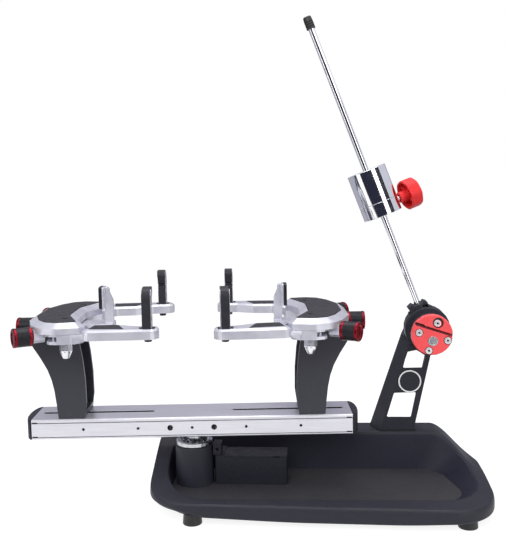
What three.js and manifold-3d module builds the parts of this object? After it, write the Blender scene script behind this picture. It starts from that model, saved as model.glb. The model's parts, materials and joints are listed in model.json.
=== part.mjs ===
// A drop-weight racket stringing machine: a tray base with a turntable that carries two adjustable
// racket mounts, and a post at its right with the weighted tension bar and the string gripper.
// Units are millimetres, +Z is up, +X is the machine's right and -Y faces the operator.

import * as THREE from 'three';
import { mergeVertices, toCreasedNormals } from 'three/addons/utils/BufferGeometryUtils.js';
import Module from 'manifold-3d';

const wasm = await Module();
wasm.setup();

// Facets, gaps and overruns
const ROUND_STEPS = 24;
const SMALL_STEPS = 12;
const FINE_STEPS = 8;
const HEX_STEPS = 6;
const RACE_STEPS = 18;
const CORNER_STEPS = 2;
const SMALL_CORNER_STEPS = 1;
const MERGE_DISTANCE = 0.0001;
const CREASE = THREE.MathUtils.degToRad(30);
const GAP = 0.3;
const OVERRUN = 5;
const SLIDING_CLEARANCE = 0.4;

// Base tray, measured from the turntable's axis
const FOOT_HEIGHT = 17;
const TRAY_LEFT = 64;
const TRAY_RIGHT = 452;
const TRAY_FRONT_LEFT = 106;
const TRAY_FRONT_RIGHT = 120;
const TRAY_BACK_LEFT = 112;
const TRAY_BACK_RIGHT = 121;
const TRAY_LEFT_RADIUS = 72;
const TRAY_RIGHT_RADIUS = 66;
const TRAY_BOTTOM_RADIUS = 8;
const CAVITY_INSET = 34;
const FLOOR_HEIGHT = 30;
const FLOOR_THICKNESS = 6;
const FLOOR_MARGIN = 6;
const FLOOR_BACK_MARGIN = 12;
const FLOOR_RIGHT_MARGIN = 17;
const FLOOR_BACK_RIGHT_MARGIN = 51;
const FLOOR_RADIUS = 44;
const FLOOR_LEFT_RADIUS = 74;
const RIM_FRONT_HEIGHT = 34;
const RIM_SIDE_HEIGHT = 45;
const RIM_BACK_HEIGHT = 91;
const RIM_LEFT_INSET = 4;
const RIM_RIGHT_INSET = 9;
const RIM_BACK_INSET = 9;
const RIM_FRONT_LEFT_INSET = 12;
const RIM_FRONT_RIGHT_INSET = 22;
const RIM_SIDE_PLACE = 20;
const RIM_RISE_START = -70;
const RIM_RISE_END = 80;
const RIM_FALL_START = 380;
const RIM_FALL_END = 440;
const LEDGE_LEFT = 40;
const LEDGE_RIGHT = 437;
const LEDGE_FRONT_LEFT = 88;
const LEDGE_FRONT_RIGHT = 82;
const LEDGE_BACK_LEFT = 70;
const LEDGE_BACK_RIGHT = 74;
const LEDGE_RADIUS = 56;
const LEDGE_LEFT_RADIUS = 78;
const TRAY_ARC_STEPS = 8;
const TRAY_EDGE_STEPS = 3;
const BOTTOM_SHARES = [[1, 0], [0.3, 0.3], [0, 1]];
const FLANK_SHARES = [[0.16, 0.55], [0.36, 0.86], [0.66, 0.97], [1, 1]];
const LEDGE_SHARES = [0.985, 0.86];
const LEDGE_EDGE_SHARE = 0.25;

// Feet
const FOOT_RADIUS = 14.5;
const FOOT_TOP_RADIUS = 13;
const FOOT_EDGE = 2;
const FOOT_LEFT_PLACE = 8;
const FOOT_RIGHT_PLACE = 408;
const FOOT_FRONT_PLACE = 90;
const FOOT_BACK_PLACE = 86;

// Turntable column, bearing and hub
const COLUMN_RADIUS = 30;
const COLUMN_TOP = 92;
const COLUMN_CHAMFER = 1.5;
const SPINDLE_RADIUS = 9.2;
const SPINDLE_LENGTH = 52;
const BEARING_CLEARANCE = 0.3;
const RING_RADIUS = 28.3;
const RING_WALL = 3.6;
const RING_HEIGHT = 8;
const RACE_HEIGHT = 4;
const RACE_WALL = 3.5;
const BALL_RADIUS = 3.2;
const BALL_COUNT = 12;
const BALL_STEPS = 6;
const HUB_RADIUS = 21;
const HUB_FLANGE = 5;
const HUB_NECK_RADIUS = 13.5;

// Beam
const BEAM_TOP = 145;
const TURNTABLE_TURN = THREE.MathUtils.degToRad(4.5);
const BEAM_LENGTH = 490;
const BEAM_WIDTH = 76;
const BEAM_HEIGHT = 31;
const BEAM_WALL = 3;
const BEAM_CUT_DEPTH = 6;
const BEAM_EDGE_RADIUS = 1.5;
const BEAM_WEB_PLACE = 15;
const GROOVE_DEPTH = 1.8;
const GROOVE_HEIGHT = 1.2;
const UPPER_GROOVE_DROP = 5;
const LOWER_GROOVE_DROP = 27;
const SLOT_WIDTH = 8;
const SLOT_INNER_END = 60;
const SLOT_OUTER_END = 235;
const BEAM_HOLE_DROP = 16;
const SMALL_HOLE_RADIUS = 2.3;
const LARGE_HOLE_RADIUS = 4.6;
const SMALL_HOLE_PLACES = [82.5, 166];
const LARGE_HOLE_PLACE = 33.5;
const END_CAP_LENGTH = 11.5;
const END_CAP_SHARES = [
  [0, 0], [0.18, 0], [0.62, 0.09], [0.9, 0.27], [1, 0.5], [0.9, 0.73], [0.62, 0.91], [0.18, 1], [0, 1],
];
const END_PLUG_LENGTH = 14;
const END_PLUG_SEAT = 1.5;

// Tower, measured outwards from its own middle
const TOWER_PLACE = 184;
const TOWER_WIDTH = 66;
const TOWER_HEIGHT = 144.5;
const TOWER_REACH = 56;
const TOWER_WALL = 6;
const TOWER_EDGE_RADIUS = 5;
const TOWER_FLOOR = 10;
const RECESS_DROP = 26.5;
const RECESS_RADIUS = 8;
const TOWER_OUTER_SHARES = [
  [0.357, 0], [0.393, 0.145], [0.439, 0.3], [0.5, 0.415], [0.6, 0.526],
  [0.768, 0.65], [0.955, 0.765], [1, 0.8], [1, 1],
];
const TOWER_INNER_SHARES = [
  [-0.25, 1], [-0.3, 0.78], [-0.36, 0.637], [-0.411, 0.41], [-0.418, 0.17], [-0.357, 0],
];
const CHANNEL_DEPTH = 10.8;
const CHANNEL_END = 44;

// Clamp bolt of a tower
const CLAMP_SHANK_RADIUS = 3.6;
const CLAMP_HEAD_RADIUS = 7.5;
const CLAMP_HEAD_HEIGHT = 6;
const CLAMP_WASHER_RADIUS = 8.4;
const CLAMP_WASHER_HEIGHT = 1.5;
const CLAMP_NUT_SIZE = 20;
const CLAMP_NUT_HEIGHT = 7;

// Head plate, measured outwards from the tower's middle
const PLATE_THICKNESS = 15.9;
const PLATE_CHAMFER = 10;
const PLATE_CHAMFER_DROP = 6.9;
const PLATE_INNER = 16;
const PLATE_INNER_HALF = 34;
const HORN_INNER = 38;
const HORN_INNER_HALF = 92;
const HORN_TIP = 33;
const HORN_TIP_HALF = 108;
const PLATE_HALF_WIDTH = 115;
const PLATE_FRONT_CORNER = 25;
const PLATE_FRONT_CORNER_HALF = 105;
const PLATE_SIDE_CORNER = 42;
const PLATE_SIDE_CORNER_HALF = 79;
const PLATE_OUTER = TOWER_REACH;
const PLATE_OUTER_HALF = 36;
const PLATE_BEND_RADIUS = 22;
const HORN_RADIUS = 4;
const PAD_MARGIN = 1.6;
const PAD_GROOVE = 0.8;
const PAD_RECESS = 2;
const PAD_PROUD = 0.6;

// Arm pivots and their bolts
const PIVOT_INSET = 4;
const PIVOT_HALF = 67.5;
const PIVOT_RADIUS = 4;
const PIVOT_HEAD_RADIUS = 6;
const PIVOT_HEAD_HEIGHT = 5.6;
const PIVOT_HEAD_DROP = 2.6;
const PIVOT_WINDOW_RADIUS = 4.6;
const PIVOT_SOCKET_RADIUS = 2.6;
const NUT_FLANGE_RADIUS = 10.4;
const NUT_TIP_RADIUS = 4.5;
const NUT_FLANGE_HEIGHT = 2;
const NUT_HEIGHT = 29;
const NUT_HEX_HEIGHT = 15;

// Adjuster knobs and their screws
const KNOB_DROP = 6.25;
const KNOB_NECK = 1.5;
const KNOB_NECK_RADIUS = 8;
const KNOB_RING = 5.6;
const KNOB_RING_RADIUS = 15.5;
const KNOB_GRIP = 18.6;
const KNOB_GRIP_RADIUS = 14.2;
const KNOB_FLUTE = 0.9;
const KNOB_EDGE = 1.2;
const KNOB_CAP_RADIUS = 8.5;
const KNOB_CAP_DROP = 1.4;
const KNOB_TEETH = 8;
const SCREW_RADIUS = 3;
const SIDE_SCREW_LENGTH = 27;
const CENTER_SCREW_LENGTH = 76;
const SIDE_KNOB_TURN = THREE.MathUtils.degToRad(29.4);
const SIDE_KNOB_PLACE = 40;
const SIDE_KNOB_HALF = 83.5;
const LUG_RADIUS = 10.5;
const LUG_LENGTH = 16;

// Arm, measured outwards from the tower's middle and sideways from the beam's middle
const LOBE_DROP = 14;
const LOBE_GAP = 0.3;
const ARM_DROP = 6;
const ARM_THICKNESS = 14.8;
const ARM_CHAMFER = 3;
const LOBE_CORNERS = { left: 38, right: 16, near: 50, far: 113 };
const LOBE_SHARES = [
  [0, 0.19], [0.48, 0], [0.85, 0.03], [0.98, 0.22], [1, 0.6],
  [0.95, 0.94], [0.67, 1], [0.33, 0.97], [0.04, 0.84],
];
const LOBE_RADIUS = 6;
const ARM_TIP = 148;
const ARM_ROOT = 33;
const ARM_NEAR_MARGIN = 52;
const ARM_FAR_MARGIN = 19;
const ARM_SHARES = [
  [0.017, 0.563], [0.296, 0.521], [0.53, 0.338], [0.791, 0.296], [0.974, 0],
  [1, 0.085], [0.904, 0.423], [0.896, 0.732], [0.957, 0.803], [0.887, 1], [0.07, 0.972], [0, 0.817],
];
const ARM_RADIUS = 6;
const WEB_SHARES = [[0.783, 0.338], [0.99, 0.028], [1.12, 0.028], [1.12, 0.676], [0.94, 0.76], [0.8, 0.76]];
const GUSSET_START = 47;
const GUSSET_END = 26;
const GUSSET_NEAR_MARGIN = 28;
const GUSSET_FAR_MARGIN = 0;
const FORK_HEIGHT = 7;
const FORK_FRONT_START = 2;
const FORK_FRONT_NEAR = 88;
const FORK_START = 5;
const FORK_NEAR = 61;
const FORK_POST_RADIUS = 1.6;
const FORK_POST_SEAT = 0.8;
const FORK_POST_PLACE = 4;
const FORK_POST_INSET = 8;
const ARM_PAD_SHARES = [[0.426, 0.873], [0.539, 0.408], [0.835, 0.408], [0.87, 0.803]];
const ARM_PAD_RECESS = 2;
const ARM_PAD_PROUD = 0.5;
const ARM_PAD_RIB = 0.5;
const ARM_PAD_RIBS = 6;
const ARM_PAD_CORNER = 1.2;
const SUPPORT_SLOT_START = 142;
const SUPPORT_SLOT_END = 118;
const SUPPORT_SLOT_HALF = 112;
const SUPPORT_SLOT_WIDTH = 8;

// Side support
const SUPPORT_PLACE = 131.4;
const SUPPORT_THICKNESS = 12;
const SUPPORT_DEPTH = 20.5;
const SUPPORT_FACE = 5.5;
const SUPPORT_HEIGHT = 57.4;
const SUPPORT_BACK_RADIUS = 14;
const SUPPORT_EDGE_RADIUS = 2;
const SUPPORT_HOOK_SHARES = [[-0.4, 0.985], [-0.5, 0.85], [0.03, 0.6], [0.23, 0.555], [0, 0.51]];
const SUPPORT_SHANK_RADIUS = 3.5;
const SUPPORT_HEAD_RADIUS = 5.5;
const SUPPORT_HEAD_HEIGHT = 5;

// Centre support
const CENTER_SLIDE_WIDTH = 40;
const CENTER_SLIDE_HEIGHT = 8.5;
const CENTER_SLIDE_INNER = 64.5;
const CENTER_SLIDE_OUTER = 16;
const CENTER_BORE_END = 46;
const BLADE_THICKNESS = 10;
const BLADE_OUTER = 52;
const BLADE_TOP_INNER = 59;
const BLADE_RISE = 53;
const BLADE_STEP = 7.5;
const BLADE_SHOULDER = 13;
const BLADE_CHAMFER = 2.5;
const FLANGE_THICKNESS = 2.5;
const FLANGE_WIDTH = 26;
const FLANGE_RISE = 20;
const FLANGE_HEIGHT = 34;
const FLANGE_RADIUS = 3;
const CENTER_PAD_THICKNESS = 4.7;

// Settings that the machine stands at
const RIGHT_CENTER_SETTING = 9;
const ARM_SETTINGS = {
  left_front: { swing: 0, support: 0 },
  left_back: { swing: 0, support: 3.4 },
  right_front: { swing: THREE.MathUtils.degToRad(5), support: 0 },
  right_back: { swing: 0, support: 3.4 },
};

// Tool box and brake
const BOX_LEFT = 33;
const BOX_RIGHT = 146;
const BOX_FRONT = 12;
const BOX_BACK = 36;
const BOX_HEIGHT = 43;
const BOX_WALL = 2.4;
const BOX_SKIN = 0.6;
const BOX_BRIDGE = 14;
const BOX_RADIUS = 4;
const LID_THICKNESS = 3;
const LID_KNUCKLE_RADIUS = 3;
const LID_PIN_RADIUS = 1.6;
const LID_PIN_LENGTH = 5;
const LID_PIN_SEAT = 1.6;
const LID_SLOT_WIDTH = 9;
const LID_SLOT_HEIGHT = 2;
const LID_SLOT_INSET = 12;
const BRAKE_LEFT = 30.3;
const BRAKE_WIDTH = 13;
const BRAKE_DEPTH = 22;
const BRAKE_HEIGHT = 18;
const BRAKE_BORE_RADIUS = 2.5;
const BRAKE_BORE_DEPTH = 5.5;

// Tension post
const PEDESTAL_TOP = 91.2;
const PEDESTAL_MARGIN = 0.6;
const PEDESTAL_ROOT = 70;
const PEDESTAL_RADIUS = 2;
const POST_FRONT = 74.5;
const POST_BACK = 106;
const POST_WEB = 3.5;
const POST_WALL = 4;
const POST_SLANT = 14;
const POST_FOOT_LEFT = 281.3;
const POST_FOOT_RIGHT = 351.5;
const POST_KNEE_RISE = 10.5;
const POST_BEND_RADIUS = 10;
const POST_NECK_LEFT = 333.4;
const POST_NECK_RIGHT = 376.5;
const POST_KNEE_RIGHT = 352.5;
const POST_BOSS_RADIUS = 25;
const POST_BOSS_LEFT_ANGLE = THREE.MathUtils.degToRad(130);
const POST_BOSS_RIGHT_ANGLE = THREE.MathUtils.degToRad(-20);
const POST_NECK_LEFT_DROP = 18.4;
const POST_NECK_RIGHT_DROP = 51.4;
const UPPER_WINDOW_LEFT = 332.5;
const UPPER_WINDOW_RIGHT = 369.5;
const UPPER_WINDOW_SHARES = [[0, 0.592], [0.846, 0.595], [1, 0.707], [0.59, 0.763], [0.19, 0.746]];
const LOWER_WINDOW_LEFT = 306.4;
const LOWER_WINDOW_RIGHT = 354;
const LOWER_WINDOW_SHARES = [[0, 0.122], [0.826, 0.122], [1, 0.363], [0.254, 0.356]];
const WINDOW_RADIUS = 2;
const BADGE_PLACE = 343.6;
const BADGE_HEIGHT_SHARE = 0.469;
const BADGE_RADIUS = 19;
const BADGE_PROUD = 1.6;

// Tension axis, bar and gripper
const AXIS_PLACE = 366.9;
const AXIS_HEIGHT = 265.4;
const BAR_LEAN = THREE.MathUtils.degToRad(20.8);
const AXLE_RADIUS = 8;
const AXLE_FRONT = 40;
const AXLE_COLLAR_RADIUS = 14;
const AXLE_NUT_RADIUS = 12;
const AXLE_NUT_HEIGHT = 7;
const HOLDER_FRONT = 36;
const HOLDER_BACK = 64;
const HOLDER_RADIUS = 35;
const HOLDER_EDGE = 2;
const HOLDER_BOSS_RADIUS = 13.5;
const HOLDER_BOSS_END = 40;
const SHOULDER_ANGLE = THREE.MathUtils.degToRad(32);
const CLAMP_SCREW_RADIUS = 3.2;
const CLAMP_SCREW_HEIGHT = 31;
const CLAMP_SCREW_PROUD = 5;
const HOUSING_FRONT = -2;
const HOUSING_FLANGE = 5;
const HOUSING_FLANGE_RADIUS = 29;
const HOUSING_RADIUS = 27;
const ROD_RADIUS = 4.75;
const ROD_START = 14;
const ROD_END = 502;
const ROD_CLEARANCE = 0.3;
const BAR_CAP_START = 497;
const BAR_CAP_END = 517;
const BAR_CAP_RADIUS = 7;
const BAR_CAP_TIP_RADIUS = 6.2;
const BAR_CAP_RIBS = 3;
const BAR_CAP_RIB = 0.6;
const WEIGHT_RADIUS = 30.5;
const WEIGHT_LOW = 191;
const WEIGHT_COLLAR = 21.5;
const WEIGHT_LENGTH = 74;
const WEIGHT_CHAMFER = 1;
const KNOB_STUD_RADIUS = 4;
const KNOB_STUD_TURN = THREE.MathUtils.degToRad(20);
const WEIGHT_KNOB_PLACE = 206;
const WEIGHT_KNOB_START = 46.5;
const WEIGHT_KNOB_THICKNESS = 17;
const WEIGHT_KNOB_RADIUS = 23.7;
const WEIGHT_KNOB_LOBE = 1.8;
const WEIGHT_KNOB_LOBES = 8;
const WEIGHT_KNOB_LOBE_STEPS = 4;
const WEIGHT_KNOB_WALL = 3;
const WEIGHT_KNOB_HUB_RADIUS = 8;
const WEIGHT_KNOB_POCKET = 9;
const GRIPPER_FACE = -12;
const GRIPPER_BACK = -2.3;
const GRIPPER_STEP = -7;
const GRIPPER_RADIUS = 31;
const GRIPPER_EDGE = 1;
const GRIP_TURN = THREE.MathUtils.degToRad(-17.9);
const GRIP_HEIGHT = 7.6;
const GRIP_GAP = 2.6;
const JAW_SCREW_RADIUS = 3;
const JAW_SCREW_HEAD_RADIUS = 5.4;
const JAW_SCREW_HEAD_HEIGHT = 1.6;
const JAW_SCREW_PLACE = [2.5, 19.5];
const JAW_TRAVEL = 2;
const JAW_LIP = 1.2;
const GRIP_ENTRY_WIDTH = 9;
const GRIP_ENTRY_DEPTH = 3;
const GRIPPER_BADGE_RADIUS = 7.5;
const GRIPPER_BADGE_PROUD = 0.8;
const GRIPPER_BADGE_PLACE = [1, -9.2];

// Materials
function finish(color, roughness, metalness) {
  return new THREE.MeshStandardMaterial({ color, roughness, metalness });
}

const MATERIALS = {
  blackPaint: finish(0x24242a, 0.6, 0.1),
  blackPlastic: finish(0x1b1c20, 0.5, 0),
  rubber: finish(0x17181a, 0.85, 0),
  towerPaint: finish(0x2c2d33, 0.45, 0.2),
  castMetal: finish(0xc9cacf, 0.3, 0.85),
  extrudedMetal: finish(0xc6c6cb, 0.4, 0.8),
  padRubber: finish(0x45464c, 0.8, 0),
  steel: finish(0xb8babd, 0.25, 0.9),
  chrome: finish(0xd9dadd, 0.08, 1),
  knob: finish(0x2a2b30, 0.55, 0.1),
  redMetal: finish(0xe8464c, 0.4, 0.3),
  redPlastic: finish(0xe3342f, 0.45, 0),
};

// Geometry helpers. Every shape is an indexed geometry that holds positions only.

// Shared corners are merged and collapsed triangles are dropped.
function clean(geometry) {
  const bare = new THREE.BufferGeometry();
  bare.setAttribute('position', geometry.attributes.position.clone());
  if (geometry.index) {
    bare.setIndex(geometry.index.clone());
  }
  const merged = mergeVertices(bare, MERGE_DISTANCE);
  const corners = merged.index.array;
  const kept = [];
  for (let at = 0; at < corners.length; at += 3) {
    const [a, b, c] = corners.slice(at, at + 3);
    if (a !== b && b !== c && c !== a) {
      kept.push(a, b, c);
    }
  }
  merged.setIndex(kept);
  return merged;
}

function flipFaces(geometry) {
  const corners = Array.from(geometry.index.array);
  for (let at = 0; at < corners.length; at += 3) {
    [corners[at + 1], corners[at + 2]] = [corners[at + 2], corners[at + 1]];
  }
  geometry.setIndex(corners);
  return geometry;
}

// The signed volume is negative when the faces point inwards.
function signedVolume(geometry) {
  const place = geometry.attributes.position;
  const corners = geometry.index.array;
  const [a, b, c] = [new THREE.Vector3(), new THREE.Vector3(), new THREE.Vector3()];
  let total = 0;
  for (let at = 0; at < corners.length; at += 3) {
    a.fromBufferAttribute(place, corners[at]);
    b.fromBufferAttribute(place, corners[at + 1]);
    c.fromBufferAttribute(place, corners[at + 2]);
    total += a.dot(b.cross(c)) / 6;
  }
  return total;
}

function outward(geometry) {
  const shape = clean(geometry);
  return signedVolume(shape) < 0 ? flipFaces(shape) : shape;
}

function toSolid(geometry) {
  const shape = clean(geometry);
  return new wasm.Manifold(new wasm.Mesh({
    numProp: 3,
    vertProperties: Float32Array.from(shape.attributes.position.array),
    triVerts: Uint32Array.from(shape.index.array),
  }));
}

function fromSolid(solid) {
  const mesh = solid.getMesh();
  const geometry = new THREE.BufferGeometry();
  const count = mesh.vertProperties.length / mesh.numProp;
  const places = new Float32Array(count * 3);
  for (let at = 0; at < count; at += 1) {
    places.set(mesh.vertProperties.subarray(at * mesh.numProp, at * mesh.numProp + 3), at * 3);
  }
  geometry.setAttribute('position', new THREE.BufferAttribute(places, 3));
  geometry.setIndex(Array.from(mesh.triVerts));
  return clean(geometry);
}

function join(...shapes) {
  return fromSolid(shapes.map(toSolid).reduce((whole, piece) => whole.add(piece)));
}

function cut(shape, ...tools) {
  return fromSolid(tools.map(toSolid).reduce((rest, tool) => rest.subtract(tool), toSolid(shape)));
}

function common(shape, other) {
  return fromSolid(toSolid(shape).intersect(toSolid(other)));
}

function moved(geometry, x, y, z) {
  return geometry.clone().translate(x, y, z);
}

// A mirror image keeps its faces pointing out.
function mirrored(geometry, sideX, sideY) {
  const copy = geometry.clone().scale(sideX, sideY, 1);
  return sideX * sideY < 0 ? flipFaces(copy) : copy;
}

// An outline's points raised into a solid between two heights.
function prism(points, low, high, holes = []) {
  const shape = new THREE.Shape(points.map(([x, y]) => new THREE.Vector2(x, y)));
  shape.holes = holes.map((hole) => new THREE.Path(hole.map(([x, y]) => new THREE.Vector2(x, y))));
  const solid = new THREE.ExtrudeGeometry(shape, { depth: high - low, bevelEnabled: false });
  return outward(solid.translate(0, 0, low));
}

// An outline in X and Z, made solid along Y.
function prismAlongY(points, front, back, holes = []) {
  return prism(points, -back, -front, holes).rotateX(Math.PI / 2);
}

// An outline in Y and Z, made solid along X.
function prismAlongX(points, left, right, holes = []) {
  const solid = prism(points, left, right, holes);
  const turn = new THREE.Matrix4().set(0, 0, 1, 0, 1, 0, 0, 0, 0, 1, 0, 0, 0, 0, 0, 1);
  return solid.applyMatrix4(turn);
}

function block(left, right, front, back, low, high) {
  const solid = new THREE.BoxGeometry(right - left, back - front, high - low);
  return clean(solid.translate((left + right) / 2, (front + back) / 2, (low + high) / 2));
}

// A closed outline of radius and height, turned about Z.
function turned(profile, steps = ROUND_STEPS) {
  const points = profile.map(([radius, height]) => new THREE.Vector2(radius, height));
  points.push(points[0].clone());
  return outward(new THREE.LatheGeometry(points, steps).rotateX(Math.PI / 2));
}

function rod(radius, low, high, steps = SMALL_STEPS) {
  return turned([[0, low], [radius, low], [radius, high], [0, high]], steps);
}

// What is built along Z is turned to lie along Y or X.
function alongY(geometry) {
  return geometry.rotateX(-Math.PI / 2);
}

function alongX(geometry) {
  return geometry.rotateY(Math.PI / 2);
}

// Rings of equally many points, joined by walls and closed at both ends.
function loft(rings) {
  const count = rings[0].length;
  const faces = [];
  for (let ring = 0; ring + 1 < rings.length; ring += 1) {
    for (let step = 0; step < count; step += 1) {
      const here = ring * count + step;
      const next = ring * count + (step + 1) % count;
      faces.push(here, next, next + count, here, next + count, here + count);
    }
  }
  const capFaces = (ring) => {
    const flat = ring.map(([x, y]) => new THREE.Vector2(x, y));
    return THREE.ShapeUtils.triangulateShape(flat, []).map(([a, b, c]) => {
      const first = flat[b].clone().sub(flat[a]);
      const second = flat[c].clone().sub(flat[a]);
      return first.cross(second) < 0 ? [a, c, b] : [a, b, c];
    });
  };
  const last = (rings.length - 1) * count;
  capFaces(rings[0]).forEach(([a, b, c]) => faces.push(a, c, b));
  capFaces(rings[rings.length - 1]).forEach(([a, b, c]) => faces.push(last + a, last + b, last + c));
  const geometry = new THREE.BufferGeometry();
  geometry.setAttribute('position', new THREE.Float32BufferAttribute(rings.flat(2), 3));
  geometry.setIndex(faces);
  return outward(geometry);
}

// The points of an outline whose corners [x, y, radius] are rounded, with its edges divided.
function rounded(corners, arcSteps = CORNER_STEPS, edgeSteps = 1) {
  const arcs = corners.map(([x, y, radius = 0], at) => {
    const before = corners[(at + corners.length - 1) % corners.length];
    const after = corners[(at + 1) % corners.length];
    const corner = new THREE.Vector2(x, y);
    const back = new THREE.Vector2(before[0], before[1]).sub(corner);
    const ahead = new THREE.Vector2(after[0], after[1]).sub(corner);
    const room = Math.min(back.length(), ahead.length()) / 2;
    back.normalize();
    ahead.normalize();
    const half = Math.acos(THREE.MathUtils.clamp(back.dot(ahead), -1, 1)) / 2;
    const reach = Math.min(radius / Math.tan(half), room);
    if (reach < MERGE_DISTANCE) {
      return [[x, y]];
    }
    const middle = back.clone().add(ahead).normalize().multiplyScalar(reach / Math.cos(half)).add(corner);
    const start = back.multiplyScalar(reach).add(corner).sub(middle);
    const end = ahead.multiplyScalar(reach).add(corner).sub(middle);
    const sweep = Math.atan2(start.x * end.y - start.y * end.x, start.dot(end));
    return Array.from({ length: arcSteps + 1 }, (_, step) => {
      const spot = start.clone().rotateAround(new THREE.Vector2(), sweep * step / arcSteps).add(middle);
      return [spot.x, spot.y];
    });
  });
  return arcs.flatMap((arc, at) => {
    const [startX, startY] = arc[arc.length - 1];
    const [endX, endY] = arcs[(at + 1) % arcs.length][0];
    const inner = Array.from({ length: edgeSteps - 1 }, (_, step) => {
      const share = (step + 1) / edgeSteps;
      return [startX + (endX - startX) * share, startY + (endY - startY) * share];
    });
    return [...arc, ...inner];
  });
}

// Corners that run counter-clockwise, with every edge moved inwards by a distance.
function inset(corners, distance) {
  const edges = corners.map(([x, y], at) => {
    const [nextX, nextY] = corners[(at + 1) % corners.length];
    const along = new THREE.Vector2(nextX - x, nextY - y).normalize();
    return { x: x - along.y * distance, y: y + along.x * distance, along };
  });
  return corners.map(([, , radius = 0], at) => {
    const before = edges[(at + edges.length - 1) % edges.length];
    const after = edges[at];
    const bend = before.along.x * after.along.y - before.along.y * after.along.x;
    const gap = (after.x - before.x) * after.along.y - (after.y - before.y) * after.along.x;
    const reach = gap / bend;
    const size = Math.max(bend > 0 ? radius - distance : radius + distance, radius / 4);
    return [before.x + before.along.x * reach, before.y + before.along.y * reach, size];
  });
}

// Shares of a box turned into points, with an optional corner radius.
function withinBox(shares, left, right, low, high, radius = 0) {
  return shares.map(([across, up]) => [left + (right - left) * across, low + (high - low) * up, radius]);
}

function mirroredCorners(corners) {
  const other = corners.map(([x, y, radius]) => [x, -y, radius]).reverse();
  return [...corners, ...other];
}

// A plate whose upper edge is chamfered all round.
function chamferedPlate(corners, low, high, chamfer, drop, arcSteps = CORNER_STEPS) {
  const at = (outline, height) => rounded(outline, arcSteps).map(([x, y]) => [x, y, height]);
  return loft([at(corners, low), at(corners, high - drop), at(inset(corners, chamfer), high)]);
}

// A turned shape whose radius at each row is reduced at every other step by the row's flute.
function fluted(rows, teeth) {
  const steps = teeth * 2;
  return loft(rows.map(([radius, height, flute = 0]) => Array.from({ length: steps }, (_, step) => {
    const size = step % 2 ? radius - flute : radius;
    const angle = (step / steps) * Math.PI * 2;
    return [Math.cos(angle) * size, Math.sin(angle) * size, height];
  })));
}

function place(parent, name, geometry, material) {
  const mesh = new THREE.Mesh(toCreasedNormals(geometry, CREASE), material);
  mesh.name = name;
  parent.add(mesh);
  return mesh;
}

// Base

function trayCorners() {
  return [
    [-TRAY_LEFT, -TRAY_FRONT_LEFT, TRAY_LEFT_RADIUS],
    [TRAY_RIGHT, -TRAY_FRONT_RIGHT, TRAY_RIGHT_RADIUS],
    [TRAY_RIGHT, TRAY_BACK_RIGHT, TRAY_RIGHT_RADIUS],
    [-TRAY_LEFT, TRAY_BACK_LEFT, TRAY_LEFT_RADIUS],
  ];
}

function rimCorners() {
  const left = -TRAY_LEFT + RIM_LEFT_INSET;
  const right = TRAY_RIGHT - RIM_RIGHT_INSET;
  return [
    [left, -TRAY_FRONT_LEFT + RIM_FRONT_LEFT_INSET, TRAY_LEFT_RADIUS],
    [right, -TRAY_FRONT_RIGHT + RIM_FRONT_RIGHT_INSET, TRAY_RIGHT_RADIUS],
    [right, TRAY_BACK_RIGHT - RIM_BACK_INSET, TRAY_RIGHT_RADIUS],
    [left, TRAY_BACK_LEFT - RIM_BACK_INSET, TRAY_LEFT_RADIUS],
  ];
}

// The ledge's inner edge leaves a wide shelf along the back for the post.
function ledgeCorners() {
  return [
    [-LEDGE_LEFT, -LEDGE_FRONT_LEFT, LEDGE_LEFT_RADIUS],
    [LEDGE_RIGHT, -LEDGE_FRONT_RIGHT, LEDGE_RADIUS],
    [LEDGE_RIGHT, LEDGE_BACK_RIGHT, LEDGE_RADIUS],
    [-LEDGE_LEFT, LEDGE_BACK_LEFT, LEDGE_RADIUS],
  ];
}

function floorCorners() {
  return [
    [-LEDGE_LEFT + FLOOR_MARGIN, -LEDGE_FRONT_LEFT + FLOOR_MARGIN, FLOOR_LEFT_RADIUS],
    [LEDGE_RIGHT - FLOOR_RIGHT_MARGIN, -LEDGE_FRONT_RIGHT + FLOOR_MARGIN, FLOOR_RADIUS],
    [LEDGE_RIGHT - FLOOR_BACK_RIGHT_MARGIN, LEDGE_BACK_RIGHT - FLOOR_BACK_MARGIN, FLOOR_RADIUS],
    [-LEDGE_LEFT + FLOOR_MARGIN, LEDGE_BACK_LEFT - FLOOR_BACK_MARGIN, FLOOR_RADIUS],
  ];
}

// The outline that lies a share of the way from one outline to another.
function between(corners, others, share) {
  const { lerp } = THREE.MathUtils;
  return corners.map((corner, at) => corner.map((value, part) => lerp(value, others[at][part], share)));
}

// The rim is low along the front, rises along the left side and falls again at the right end of the back.
function rimHeight(x, y) {
  const along = THREE.MathUtils.smoothstep(y, -TRAY_FRONT_RIGHT, RIM_SIDE_PLACE);
  const low = THREE.MathUtils.lerp(RIM_FRONT_HEIGHT, RIM_SIDE_HEIGHT, along);
  const rise = THREE.MathUtils.smoothstep(y, RIM_RISE_START, RIM_RISE_END);
  const fall = THREE.MathUtils.smoothstep(x, RIM_FALL_START, RIM_FALL_END);
  return low + (RIM_BACK_HEIGHT - low) * rise * (1 - fall);
}

function trayRing(corners, height) {
  return rounded(corners, TRAY_ARC_STEPS, TRAY_EDGE_STEPS).map(([x, y]) => [x, y, height(x, y)]);
}

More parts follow.
